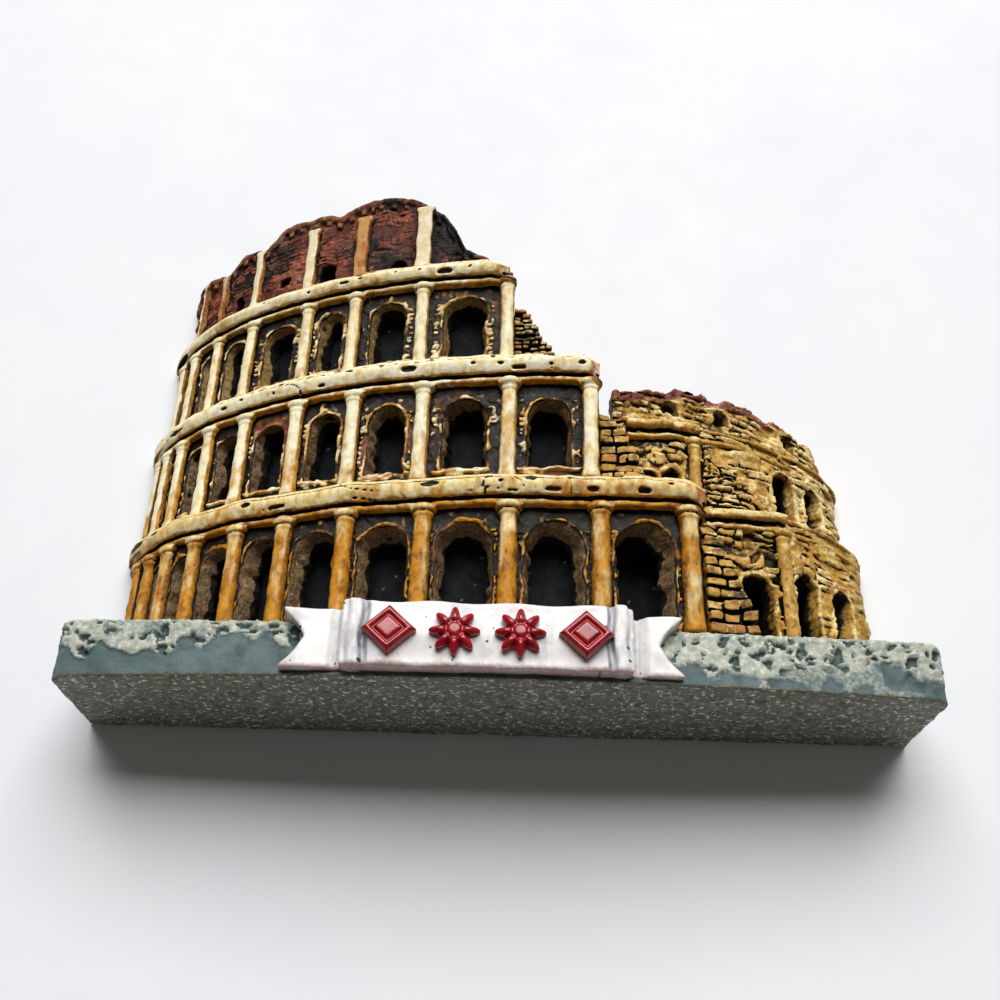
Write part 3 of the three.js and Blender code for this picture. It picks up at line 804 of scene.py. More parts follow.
def roll_damage(storey, grid, low):
    """Gouges, long splits and round pits in the cornice's roll, each from 0 to 1."""
    u, v, seed = grid.flat_u, grid.flat_v, storey["seed"]
    middle = (low + storey["cornice_top"]) / 2
    chip, name = spots(u + 0.3 * grid.ripple(0.7, seed + 14), 2.3 * v, 2.9, seed + 10, storey["chips"])
    bite = step_up(0.09 + 0.24 * name * name - chip, -0.03, 0.07) * step_up(v, low + 0.25, low + 0.6)
    split = np.abs(flat_noise(0.45 * u, 1.3 * v + 0.2 * u, 1.6, seed + 12))
    split = step_up(0.06 - split, 0, 0.05) * step_up(grid.wave(3.4, seed + 13), 0.05, 0.35)
    spacing = 8.5
    pit, _ = spots(u, 0 * v, spacing, seed + 17, 0.45)
    hole = step_up(0.42 - np.hypot(spacing * pit, v - middle - 0.1), -0.1, 0.08)
    return bite, split, hole


def storey_cornice(storey, grid, left, right):
    """The cornice, with how far each place along it rises and the damage to its roll."""
    u, v, w = grid.u, grid.v, grid.w
    seed, top, cornice_top, short = (storey[key] for key in ("seed", "top", "cornice_top", "roll_short"))
    low, roll_front = top + CORNICE["roll_low"], CORNICE["roll_front"]
    sag = CORNICE["sag"] * step_up(grid.flat_u, right - short - 0.3, right + 0.2)
    rise = 0.12 * grid.wave(3.5, seed + 8) - sag
    dent = 0.07 * grid.ripple(1.2, seed + 9)
    bite, split, hole = damage = roll_damage(storey, grid, low)
    proud = roll_front - 0.75 * step_up(-grid.flat_u, -left - 7, -left)
    front = (0.5 * bite + 0.3 * split + 0.6 * hole - dent)[..., None] + roll_front - proud[..., None]
    level, out = v - rise[..., None], w - dent[..., None]
    roll = moulding_field(level, w + front, low, cornice_top - 0.32, roll_front)
    roll = np.maximum(roll, u - right + 0.5 * short + 0.5 * (level - low - 1))
    plinth = box_field(
        level, out, 0, (low + 0.6, -3, -9), (cornice_top + 0.02, CORNICE["plinth_front"], 9), 0.14)
    strip = box_field(
        level - 0.5 * sag[..., None], out, 0, (top + CORNICE["strip_low"], -3, -9),
        (top + CORNICE["strip_high"], CORNICE["strip_front"], 9), 0.22)
    recess = np.maximum(np.abs(level - top - 1.1) - 0.8, w - 0.3)
    cornice = meet(join(roll, plinth, strip, recess), -w - 2.4, u - right, left - u)
    return cornice, rise, damage


def storey_columns(storey, grid, bend):
    """The row of columns that stands against the wall."""
    columns = np.full(grid.shape, FAR)
    out = BEHIND_COLUMNS - storey["radius"]
    for angle in storey["columns"]:
        centre = bend.along(angle)
        near = np.abs(grid.flat_u[:, 0] - centre) < 2.4
        radius = storey["radius"] * slimming(angle)
        single = column_field(
            grid.u[near], grid.v, grid.w, centre, out, radius, storey["foot"] - 0.2, storey["top"] + 0.4)
        columns[near] = np.minimum(columns[near], single)
    return np.maximum(columns, -grid.w - 0.7)


def colonnade_masks(storey, shape, right, rise, damage):
    """Gold shafts and rolls with cream brushed over them and painted highlight on faces turned up and out;
    painted shade, dark in the grooves, gouges, sides and undersides.
    """
    seed, foot, top, cornice_top = (storey[key] for key in ("seed", "foot", "top", "cornice_top"))
    highlight, short = storey["highlight"], storey["roll_short"]
    low = top + CORNICE["roll_low"]
    grid, p, n = shape.grid, shape.points, shape.normals
    open_near, open_far = shape.openness(0.3), shape.openness(0.9)
    sharp = shape.sharpness(0.3)
    shape.push(0.035 * rough(p, 1.4, seed + 24) + 0.035 * rough(p, 0.4, seed + 25))
    height = p[:, 1] - grid.sheet(rise, p)
    on_cornice = step_up(height, top + 0.12, top + 0.3)
    on_roll = step_up(height, low + 0.05, low + 0.3) * step_up(p[:, 2], 0.7, 1.1)
    on_strip = on_cornice * (1 - on_roll)
    in_groove = step_up(height, top + 0.6, top + 0.74) * step_up(low + 0.1 - height, 0, 0.14)
    dug = meet(*(grid.sheet(kind, p) for kind in damage)) * on_roll
    lip = 4 * dug * (1 - dug)
    # How far a face turns up and out towards the lamp; it places painted highlight.
    toward = 0.75 * n[:, 2] + 0.35 * n[:, 1]
    drips = noise(p * [1, 0.35, 1], 0.55, seed + 26)
    patch = noise(p * [1, 0.6, 1], 2.4, seed + 28)
    capital = step_up(p[:, 1], top - 0.6, top - 0.35) * (1 - on_cornice)
    up_shaft = np.clip((p[:, 1] - foot) / (top - foot), 0, 1)
    # Sides and undersides turn away from the lamp and take painted shade.
    side = step_up(np.abs(n[:, 0]), 0.45, 0.9) * (1 - on_cornice)
    under = step_up(-n[:, 1], 0.25, 0.7)
    # Cream on shafts, roll, strip and the cornice's top edge: brushed paint and painted highlight.
    shaft_light = 0.28 + 0.6 * highlight + 0.25 * (up_shaft - 0.5) + 0.3 * capital
    shaft_light = shaft_light * step_up(n[:, 2], 0.3, 0.75) * (1 - on_cornice)
    roll_light = (0.57 + 0.3 * highlight) * step_up(toward, 0.05, 0.45) * on_roll
    strip_light = (0.2 + 0.35 * highlight) * step_up(toward, 0.4, 0.8) * on_strip
    ledge_light = 0.6 * step_up(height, cornice_top - 0.4, cornice_top - 0.25)
    end = step_up(p[:, 0], right - short, right - 0.5 * short) * on_cornice
    shelf = hump(height - cornice_top + 0.42, 0.14) * step_up(patch + drips, -0.3, 0.3)
    return {
        # Less ochre deep in hollows, where the near-black ground shows as painted shade.
        "cover": 1.2 * step_up(open_far, 0.1, 0.35) - 0.25 * on_strip,
        "lining": np.zeros(len(p)),
        "warm_tone_and_shade": 0.42 * side + 0.4 * under * on_roll + 0.5 * lip + 0.2 * patch + 0.2 * on_strip,
        "light": shaft_light + roll_light + strip_light + ledge_light + 0.2 * drips + 0.22 * patch
                 + 0.2 * (sharp - 0.4) - 1.2 * dug + 0.25 * lip - 0.5 * end,
        "red": 0.62 * end * on_roll + 0.12 * drips,
        "wash_and_shade": 1.15 * (1 - open_near) - 0.14 + 1.2 * in_groove + 1.05 * dug + 0.22 * under * on_roll
                + 0.25 * drips * under + 0.25 * side + 0.8 * shelf,
    }


def storey_pieces(storey, label, paint):
    """The arcaded wall of one storey, and the columns with their cornice."""
    bend = Bend(FACADE, storey["setback"] + BEHIND_COLUMNS)
    left, right = bend.along(FAR_LEFT), bend.along(storey["right"])
    cornice_right = bend.along(storey["cornice_right"])
    low = (left - 0.3, storey["foot"] - 0.5, -WALL_DEPTH)
    high = (cornice_right + 0.6, storey["cornice_top"] + 0.4, 2.3)
    grid = Grid(low, high, WALL_STEP)
    wall, opening = storey_wall(storey, grid, bend, left, right)
    cornice, rise, damage = storey_cornice(storey, grid, left, cornice_right)
    colonnade = soft_join(storey_columns(storey, grid, bend), cornice, 0.12)
    whole = np.minimum(wall, colonnade)
    shape = Shape(grid, wall, whole)
    masks = storey_wall_masks(storey, shape, opening)
    add_piece(f"{label}_arcade_wall", shape, paint, masks, bend)
    shape = Shape(grid, colonnade, whole)
    masks = colonnade_masks(storey, shape, cornice_right, rise, damage)
    add_piece(f"{label}_colonnade", shape, paint, masks, bend)


def facade_pieces():
    """The three arcaded storeys, creamier towards the top."""
    gold = ("b9791c", "d4952a", "935a16")
    lower = facade_paint("lower_storey_paint", gold, ("f0da98", "f8e9b8", "e2bd62"))
    bright_gold, bright_cream = ("c78b2a", "e2a944", "9c651d"), ("fbeec2", "fff8dc", "f0d88c")
    middle = facade_paint("middle_storey_paint", bright_gold, bright_cream)
    straw, pale_cream = ("c0903f", "d9ac5c", "946a30"), ("f8e9b8", "fff6d6", "e8cf8c")
    upper = facade_paint("upper_storey_paint", straw, pale_cream, lining=("8f7448", "b0935c", "5f4a2c"))
    storey_pieces(GROUND, "ground", lower)
    storey_pieces(SECOND, "second", middle)
    storey_pieces(THIRD, "third", upper)


# ---- The attic ----


def brick_paint():
    """Maroon brick with salmon wear and ochre-brown corbels."""
    paint = Paint("brick_paint", (0.5, 0.75), 0.2)
    paint.ground(("4c2318", "643226", "2e150f"), 1.2)
    paint.layer("light", ("96553c", "80432f", "ae7250"), size=0.7, breakup=0.6, grain=0.35, edge=0.22)
    paint.layer("warm_tone_and_shade", ("8a5a34", "6f4026", "a87648"), size=0.7, breakup=0.5, grain=0.35, edge=0.2)
    paint.layer("wash_and_shade", ("0c0908", "1a0f0c"), size=0.6, breakup=0.4, grain=0.25, edge=0.2)
    return paint.finish(bump=0.04, bump_size=0.28)


def attic_wall(grid, bend, left, right, crown):
    """Brickwork under a coping on corbels, with small windows; also its openings, joints and bricks."""
    u, v, w = grid.u, grid.v, grid.w
    flat_u, below, foot = grid.flat_u, crown - grid.flat_v, ATTIC["foot"]
    opening = nearest_arch(grid, bend, ATTIC["windows"], foot) + 0.16 * grid.ripple(0.8, 92)

    joint, brick = masonry(flat_u, grid.flat_v, 0.58, 1.2, 93, 0.7)
    worn = step_up(grid.ripple(1.6, 98), -0.1, 0.4)
    face = 0.17 * np.maximum(step_up(joint, 0.02, 0.13), 0.8 * worn) + 0.16 * (brick - 0.5)
    face = face + 0.2 * grid.ripple(1.4, 94) + 0.1 * grid.ripple(0.5, 99)
    reach = 0.55 + 0.14 * grid.wave(1.1, 96)
    coping = 0.62 * dome(np.clip((below - reach) / 0.62, -1, 1))
    spacing = 1.35
    tooth = np.abs(np.mod(flat_u + 0.3 * grid.wave(2.4, 97), spacing) - 0.67)
    corbels = 0.62 * step_up(-np.maximum(tooth - 0.36, np.abs(below - 1.5) - 0.42), -0.1, 0.15)
    face = np.maximum(face, np.maximum(coping, corbels) + 0.08 * grid.ripple(0.5, 100))
    wall = np.maximum(w - face[..., None], -w - WALL_DEPTH + grid.step)
    edge = meet(-below[..., None], foot - 0.4 - v, u - right, left - u)
    return pierced(grid, soft_meet(wall, edge, 0.2), opening, 0.1), opening, joint, brick


def attic_pilasters(grid, bend, left, right):
    """Flat strips on a low plinth, a little wider at their heads."""
    u, v, w = grid.u, grid.v, grid.w
    foot = ATTIC["foot"]
    angles, levels = zip(*ATTIC_CROWN)
    waver = 0.1 * grid.wave(2, 95)[..., None]
    plinth = box_field(v - waver, w, 0, (foot - 0.5, -0.5, -9), (foot + 0.6, 0.75, 9), 0.18)
    pilasters = meet(plinth, u - right, left - u)
    for angle in ATTIC["pilasters"]:
        half = 0.95 * abs(bend.along(angle + 1.3 * slimming(angle) ** 2) - bend.along(angle))
        top = min(ATTIC["top"], np.interp(angle, angles, levels) - 0.5)
        wide = half + 0.22 * step_up(v, top - 0.9, top - 0.5)
        across = u - bend.along(angle) - 0.05 * np.sin(1.7 * v + angle)
        strip = box_field(across / wide, v, w, (-1, foot, -0.5), (1, top, 1.05), 0.3)
        pilasters = soft_join(pilasters, strip, 0.15)
    return pilasters


def attic_wall_masks(shape, crown, opening, joint, brick):
    """Salmon wear on the bricks, brown on the coping and corbels, black in the joints, and painted shade in
    hollows, in the windows, under the coping and between the corbels.
    """
    grid, p = shape.grid, shape.points
    under = grid.sheet(crown - grid.flat_v, p)
    hole = grid.sheet(opening, p)
    joints = 1 - step_up(grid.sheet(joint, p), 0.03, 0.12)
    near, far = shape.openness(0.3), shape.openness(0.9)
    shape.push(0.06 * rough(p, 0.6, 101))
    trim = step_up(2.0 - under, 0, 0.2)
    raised = step_up(p[:, 2], 0.25, 0.45)
    inside = step_up(-hole, -0.1, 0.1) * step_up(-p[:, 2], 0.1, 0.4)
    return {
        "light": 0.2 + 0.4 * noise(p, 1.8, 102) + 0.3 * grid.sheet(brick, p) - 0.3 * joints - 0.3 * trim
                 + 0.8 * p[:, 2],
        "warm_tone_and_shade": 0.6 * trim * raised + 0.3 * noise(p, 0.8, 103) * trim + 0.15 * noise(p, 2.5, 109),
        # Black in the joints, and painted shade in hollows, windows, under the coping and between the
        # corbels.
        "wash_and_shade": 0.8 * joints * (0.6 + 0.4 * noise(p, 1.5, 104)) + 1.3 * (1 - near) + 0.5 * (1 - far) - 0.03
                + 0.75 * noise(p, 3, 110) + 0.35 * trim * (1 - raised) + inside,
    }


def pilaster_masks(shape, bend, right):
    """Cream strips, but for the golden ones; painted highlight on fronts turned up, and painted shade,
    darker and redder, on their sides.
    """
    p, n = shape.points, shape.normals
    near = shape.openness(0.3)
    shape.push(0.05 * rough(p, 1.2, 105) + 0.03 * rough(p, 0.35, 106))
    degrees = bend.degrees(p[:, 0])
    golden = meet(*(step_up(3 - np.abs(degrees - angle), 0, 0.5) for angle in ATTIC["golden"]))
    side = step_up(np.abs(n[:, 0]), 0.4, 0.9)
    streaks = noise(p * [1, 0.3, 1], 0.8, 108)
    return {
        # Warm, red and dark on the sides are painted shade; pale on fronts turned up is painted highlight.
        "cover": np.full(len(p), 1.2),
        "lining": np.zeros(len(p)),
        "warm_tone_and_shade": 0.5 * side + 0.2 * noise(p * [1, 0.4, 1], 1.5, 107) + 0.12 * golden,
        "light": step_up(n[:, 2], 0.3, 0.9) * (0.95 - 0.8 * golden) + 0.25 * streaks,
        "red": 0.4 * step_up(p[:, 0], right - 2, right) + 0.25 * side * golden,
        "wash_and_shade": 1.2 * (1 - near) - 0.15 + 0.2 * side,
    }


def attic_pieces(stone):
    """The attic's wall and pilasters, under a ruined skyline."""
    bend = Bend(FACADE, ATTIC["face"])
    left, right = bend.along(FAR_LEFT), bend.along(ATTIC["right"])
    angles, levels = zip(*ATTIC_CROWN)
    low = (left - 0.3, ATTIC["foot"] - 0.7, -WALL_DEPTH)
    grid = Grid(low, (right + 0.3, max(levels) + 0.4, 1.5), WALL_STEP)
    crown = np.interp(bend.degrees(grid.flat_u), angles, levels) + 0.12 * grid.wave(0.9, 91)
    wall, opening, joint, brick = attic_wall(grid, bend, left, right, crown)
    pilasters = attic_pilasters(grid, bend, left, right)
    whole = np.minimum(wall, pilasters)
    shape = Shape(grid, wall, whole)
    masks = attic_wall_masks(shape, crown, opening, joint, brick)
    add_piece("attic_wall", shape, brick_paint(), masks, bend)
    shape = Shape(grid, pilasters, whole)
    masks = pilaster_masks(shape, bend, right)
    add_piece("attic_pilasters", shape, stone, masks, bend)


# ---- The inner wall ----


def inner_paint():
    """Weathered stone: ochre over near-black, with warm and red patches and pale worn edges; pale tops are
    painted highlight, and dark hollows, sides and undersides painted shade.
    """
    paint = Paint("inner_stone_paint", (0.45, 0.7), 0.25)
    paint.ground(("1c1912", "2c291c", "100e0a"), 1.2)
    paint.layer("cover", ("b98b38", "d4a650", "89662c"), size=1.1, breakup=0.4, grain=0.4, edge=0.2)
    paint.layer("warm_tone_and_shade", ("a8713a", "bd8040", "7f4f24"), size=0.9, breakup=0.5, grain=0.5, edge=0.25)
    paint.layer("red", ("7d3f36", "96584a", "5a2a24"), size=0.9, breakup=0.45, grain=0.4)
    cream = ("f6df9c", "e6c67c", "fbeec0")
    paint.layer("light", cream, size=0.8, breakup=0.6, grain=0.4, edge=0.2)
    paint.layer("wash_and_shade", ("0e0c09", "1a160f"), size=0.6, breakup=0.4, grain=0.25, edge=0.2)
    return paint.finish(bump=0.045, bump_size=0.3)


def stone_masks(shape, joint, stone, opening, seed, red=0.0, light=0.35):
    """Where each colour goes on a wall of separate stones."""
    grid, p, n = shape.grid, shape.points, shape.normals
    joint, stone, hole = (grid.sheet(values, p) for values in (joint, stone, opening))
    near, far = shape.openness(0.3), shape.openness(0.9)
    sharp = shape.sharpness(0.3)
    seams = 1 - step_up(joint, 0.04, 0.16)
    inside = step_up(0.02 - hole, 0, 0.15) * step_up(-p[:, 2], 0.3, 0.9)
    tone = noise(p, 2.5, seed)
    out = step_up(p[:, 2], -0.05, 0.3)
    red = np.asarray(red)
    worn = light * (0.7 + 0.4 * stone + 0.7 * out) - 0.35 * np.clip(red, 0, 1)
    return {
        "cover": 0.68 + 0.35 * tone + 0.3 * (stone - 0.5) - 0.2 * seams + 0.3 * out,
        "warm_tone_and_shade": 0.15 + 0.35 * noise(p, 3.2, seed + 1) + 0.3 * (stone - 0.6),
        "red": np.clip(red, 0, 1.2) + 0.25 * tone * (red > 0.02),
        # Pale worn edges, and tops turned to the lamp made paler as painted highlight.
        "light": 0.05 + worn + 0.5 * (sharp - 0.45) + 0.3 * step_up(n[:, 1], 0.2, 0.8)
                 + 0.25 * noise(p, 1.1, seed + 12) - 0.15 * seams,
        # Dark seams, and painted shade in hollows, openings and under the stones.
        "wash_and_shade": 0.2 * seams + 1.15 * (1 - near) + 0.45 * (1 - far) - 0.3 + 1.3 * inside
                + 0.6 * step_up(-n[:, 1], 0.3, 0.8),
    }


def weathered_face(grid, joint, stone, seed):
    """Uneven stones with joints that come and go, and thin broken beds across them."""
    merged = step_up(grid.ripple(2.4, seed), -0.35, 0.2)
    face = 0.3 * np.maximum(step_up(joint, 0.02, 0.2), merged) + 0.3 * (stone - 0.6) * (1 - 0.6 * merged)
    wavering = grid.flat_v + 0.3 * grid.ripple(2, seed + 1)
    beds = 0.24 * flat_noise(0.3 * grid.flat_u, wavering, 0.45, seed + 2)
    return face + 0.2 * grid.ripple(1.5, seed + 3) + beds + 0.07 * grid.ripple(0.35, seed + 4)


def ruined_face(storey, grid, bend, face, opening):
    """The face with loose rubble on it left of the column, and a stepped heap right of the upper one."""
    seed, foot = storey["seed"], storey["foot"]
    degrees = bend.degrees(grid.flat_u)
    ruined = step_up(storey["column"] - degrees, -1, 1) * step_up(opening, 0.3, 0.7)
    gap, chance = masonry(grid.flat_u, grid.flat_v, 0.72, 1.5, seed + 36, 0.9)
    rubble = (1.1 * chance - 0.4) * step_up(gap, 0.0, 0.14) + 0.15 * grid.ripple(0.9, seed + 37)
    face = face + ruined * (rubble - face)
    if "heap" in storey:
        angles, levels = zip(*storey["heap"])
        course = 0.95
        heap_top = foot + course * np.round((np.interp(degrees, angles, levels) - foot) / course)
        heap = step_up(gap, 0, 0.12) * step_up(heap_top - grid.flat_v, 0, 0.15)
        face = face + (0.5 + 0.5 * chance) * heap
    return face


def inner_wall(storey, grid, bend, left, right):
    """One storey of the inner wall, with its openings, joints and stones."""
    seed = storey["seed"]
    opening = nearest_arch(grid, bend, storey["openings"]) + 0.13 * grid.ripple(1, seed)
    joint, stone = masonry(grid.flat_u, grid.flat_v, storey["course"], storey["stone"], seed + 2, 0.6)
    face = np.maximum(weathered_face(grid, joint, stone, seed + 30), 0.34 * hump(opening - 0.25, 0.2))
    face = ruined_face(storey, grid, bend, face, opening)
    wall = slab(grid, face, INNER_DEPTH, left, right, storey["foot"] - 0.3, storey["cornice_top"] - 0.5)
    return pierced(grid, wall, opening, 0.12), opening, joint, stone


def inner_trim(storey, grid, bend, right, heavy_right):
    """A column under a cornice that is heavy on the left and thin on the right, and the cornice's waver."""
    u, v, w, seed = grid.u, grid.v, grid.w, storey["seed"]
    top, cornice_top = storey["top"], storey["cornice_top"]
    left, tall = bend.along(storey["cornice_left"]), cornice_top - top
    sag = storey["sag"] * np.clip((heavy_right - grid.flat_u) / (heavy_right - left), 0, 1)
    rise = 0.12 * grid.wave(2.2, seed + 5) + 0.05 * grid.wave(0.7, seed + 6) - sag
    level, out = v - rise[..., None], w - (0.12 * grid.ripple(1.1, seed + 7))[..., None]

    def ledge(low, high, front, radius):
        return box_field(level, out, 0, (low, -2.3, -9), (high, front, 9), radius)

    upper = ledge(top + 0.5 * tall, cornice_top - 0.05, 1.2, 0.42)
    lower = ledge(top + 0.02, top + 0.26 * tall, 0.75, 0.22)
    heavy = np.maximum(np.minimum(upper, lower), u - heavy_right)
    light_upper = ledge(top + 0.68 * tall, cornice_top - 0.2, 0.52, 0.22)
    light_lower = ledge(top + 0.2, top + 0.34 * tall, 0.4, 0.2)
    middle = np.abs(level - (top + cornice_top) / 2 + 0.1)
    core = meet(middle - 0.5 * tall + 0.2, w - 0.08, -w - 2.2)
    cornice = meet(join(heavy, core, light_upper, light_lower), u - right, left - u)
    column = column_field(
        u, v, w, bend.along(storey["column"]), 0.35, storey["radius"], storey["foot"] - 0.2, top + 0.4)
    return soft_join(np.maximum(column, -w - 0.6), cornice, 0.16), rise


def inner_trim_masks(storey, shape, rise, heavy_right):
    """Ochre with a cream roll on the heavy part and a dark groove under it; cream on faces turned up is
    painted highlight, and the groove, hollows, sides and undersides get painted shade.
    """
    p, n = shape.points, shape.normals
    seed, foot, top = storey["seed"], storey["foot"], storey["top"]
    tall = storey["cornice_top"] - top
    near = shape.openness(0.3)
    shape.push(0.04 * rough(p, 1.1, seed + 11) + 0.03 * rough(p, 0.4, seed + 12))
    is_heavy = step_up(heavy_right + 0.5 - p[:, 0], 0, 1)
    height = p[:, 1] - shape.grid.sheet(rise, p)
    # The crease under the roll, darkened as painted shade.
    groove = hump(height - top - 0.38 * tall, 0.11 * tall) * is_heavy
    streaks = noise(p * [0.5, 1, 1], 0.8, seed + 13)
    high_up = step_up(p[:, 1], foot + 0.2 * (top - foot), top)
    # Faces turned up and out to the lamp get cream as painted highlight; sides and undersides get painted
    # shade.
    toward = step_up(0.8 * n[:, 2] + 0.4 * n[:, 1], 0.35, 0.9)
    side = step_up(np.abs(n[:, 0]), 0.5, 0.9)
    on_roll = step_up(height, top + 0.45 * tall, top + 0.6 * tall)
    brushed = 0.2 + 0.5 * is_heavy * on_roll + storey["bright"] * high_up * is_heavy * (1 - on_roll)
    return {
        "cover": 1.1 - 0.9 * groove,
        "warm_tone_and_shade": 0.5 * step_up(-n[:, 1], 0.3, 0.8) + 0.25 * streaks + 0.25 * side,
        "red": np.zeros(len(p)),
        "light": toward * brushed + 0.3 * streaks,
        "wash_and_shade": 1.15 * (1 - near) - 0.1 + 1.1 * groove + 0.2 * side
                + 0.35 * step_up(-n[:, 1], 0.5, 0.9) * on_roll,
    }


def inner_storey(storey, label, paint):
    """One storey of the inner wall, and its cornice with a column under it."""
    seed = storey["seed"]
    bend = Bend(storey["curve"], storey["setback"])
    left, right, heavy_right = (bend.along(a) for a in (storey["left"], FAR_RIGHT, storey["heavy_right"]))
    low = (left - 0.4, storey["foot"] - 0.5, -INNER_DEPTH)
    grid = Grid(low, (right + 0.3, storey["cornice_top"] + 0.4, 1.7), WALL_STEP)
    wall, opening, joint, stone = inner_wall(storey, grid, bend, left, right)
    trim, rise = inner_trim(storey, grid, bend, right, heavy_right)
    whole = np.minimum(wall, trim)

    shape = Shape(grid, wall, whole)
    p = shape.points
    degrees = bend.degrees(p[:, 0])
    masks = stone_masks(shape, joint, stone, opening, seed + 8)
    shaded = step_up(storey["column"] + 3 - degrees, 0, 4)
    masks["cover"] -= shaded * (0.25 + 0.25 * noise(p, 1.6, seed + 9) - 0.6 * step_up(p[:, 2], -0.1, 0.25))
    masks["light"] += storey["far_light"] * step_up(degrees, 36, 56) - 0.08 * shaded
    masks["wash_and_shade"] += 0.3 * shaded * step_up(0.1 - p[:, 2], -0.1, 0.2)
    shape.push(0.07 * rough(p, 0.7, seed + 10) + 0.04 * rough(p, 0.3, seed + 14))
    add_piece(f"{label}_wall", shape, paint, masks, bend)

    shape = Shape(grid, trim, whole)
    masks = inner_trim_masks(storey, shape, rise, heavy_right)
    add_piece(f"{label}_cornice", shape, paint, masks, bend)


def parapet_piece(paint):
    """The crumbled parapet: merlons of uneven height with holes between them."""
    bend = Bend(PARAPET["curve"], PARAPET["setback"])
    first = INNER_UPPER["left"]
    left, right = bend.along(first), bend.along(FAR_RIGHT)
    foot, tops = PARAPET["foot"], np.array(PARAPET["tops"])
    grid = Grid((left - 0.3, foot - 0.7, -INNER_DEPTH), (right + 0.3, max(tops) + 0.7, 0.9), WALL_STEP)
    u, v, w = grid.u, grid.v, grid.w
    place = (bend.degrees(grid.flat_u) - first) / (FAR_RIGHT - first) * len(tops)
    crown = np.interp(place, np.arange(len(tops)) + 0.5, tops)
    merlon = tops[np.clip(place.astype(int), 0, len(tops) - 1)]
    crown = 0.6 * crown + 0.4 * merlon + 0.28 * grid.wave(0.8, 111)
    holes = [(degrees, 1.7, 1, 2.8) for degrees in PARAPET["holes"]]
    opening = nearest_arch(grid, bend, holes, foot) + 0.15 * grid.ripple(0.8, 112)
    joint, stone = masonry(grid.flat_u, grid.flat_v, 0.75, 1.25, 113, 0.5)
    face = weathered_face(grid, joint, stone, 120)
    wall = np.maximum(w - face[..., None], -w - INNER_DEPTH + grid.step)
    edge = meet(v - crown[..., None], foot - 0.4 - v, u - right, left - u)
    shape = Shape(grid, pierced(grid, soft_meet(wall, edge, 0.2), opening, 0.15))
    p = shape.points
    under = grid.sheet(crown - grid.flat_v, p)
    red = step_up(1.9 - under, 0, 1.4) * (1 - 0.85 * step_up(bend.degrees(p[:, 0]), 42, 66))
    masks = stone_masks(shape, joint, stone, opening, 115, red, 0.4)
    shape.push(0.08 * rough(p, 0.7, 116))
    add_piece("inner_parapet", shape, paint, masks, bend)


# ---- Heaps of fallen courses ----


def course_stones(u, level, out, heap, course, brick):
    """One course of separate stones with a solid filling behind them."""
    seed, back = heap["seed"], heap["back"] - 1.2
    gap = 0.08
    rise = (heap["top"] - heap["foot"]) / heap["courses"]
    up = course / (heap["courses"] - 1)
    low = heap["foot"] + course * rise
    jut = 0.5 * (scatter(course, seed + 5) - 0.5)
    width = heap["foot_width"] + (heap["top_width"] - heap["foot_width"]) * up + 0.4 + jut
    front = heap["front"] - heap["lean"] * up - 0.6 * scatter(course, seed + 4)
    cuts = max(1, int(width / (0.85 if brick else 1.3) + 0.5 * scatter(course, seed + 7)))
    edges = [0.0]
    for i in range(1, cuts):
        edges.append(width * (i + 0.5 * (scatter(course, i, seed + 6) - 0.5)) / cuts)
    edges.append(width)
    stones = []
    for i, (start, end) in enumerate(zip(edges, edges[1:])):
        pull = 0.7 * max(0.0, scatter(course, i, seed + 1) - 0.35)
        raised = 0.14 * (scatter(course, i, seed + 8) - 0.5)
        slant = 0.5 * (scatter(course, i, seed + 9) - 0.3)
        lean = (level - low) * (slant if i == cuts - 1 and not brick else 0.25 * slant)
        stones.append(box_field(
            u + lean, level, out + 0.3 * slant * (level - low),
            (start + gap * (i > 0), low + gap, back),
            (end, low + rise * (0.86 + raised), front - pull), 0.16,
        ))
    return stones, (low - 0.2, low + rise + 0.1, width - 0.5, front - 0.95)


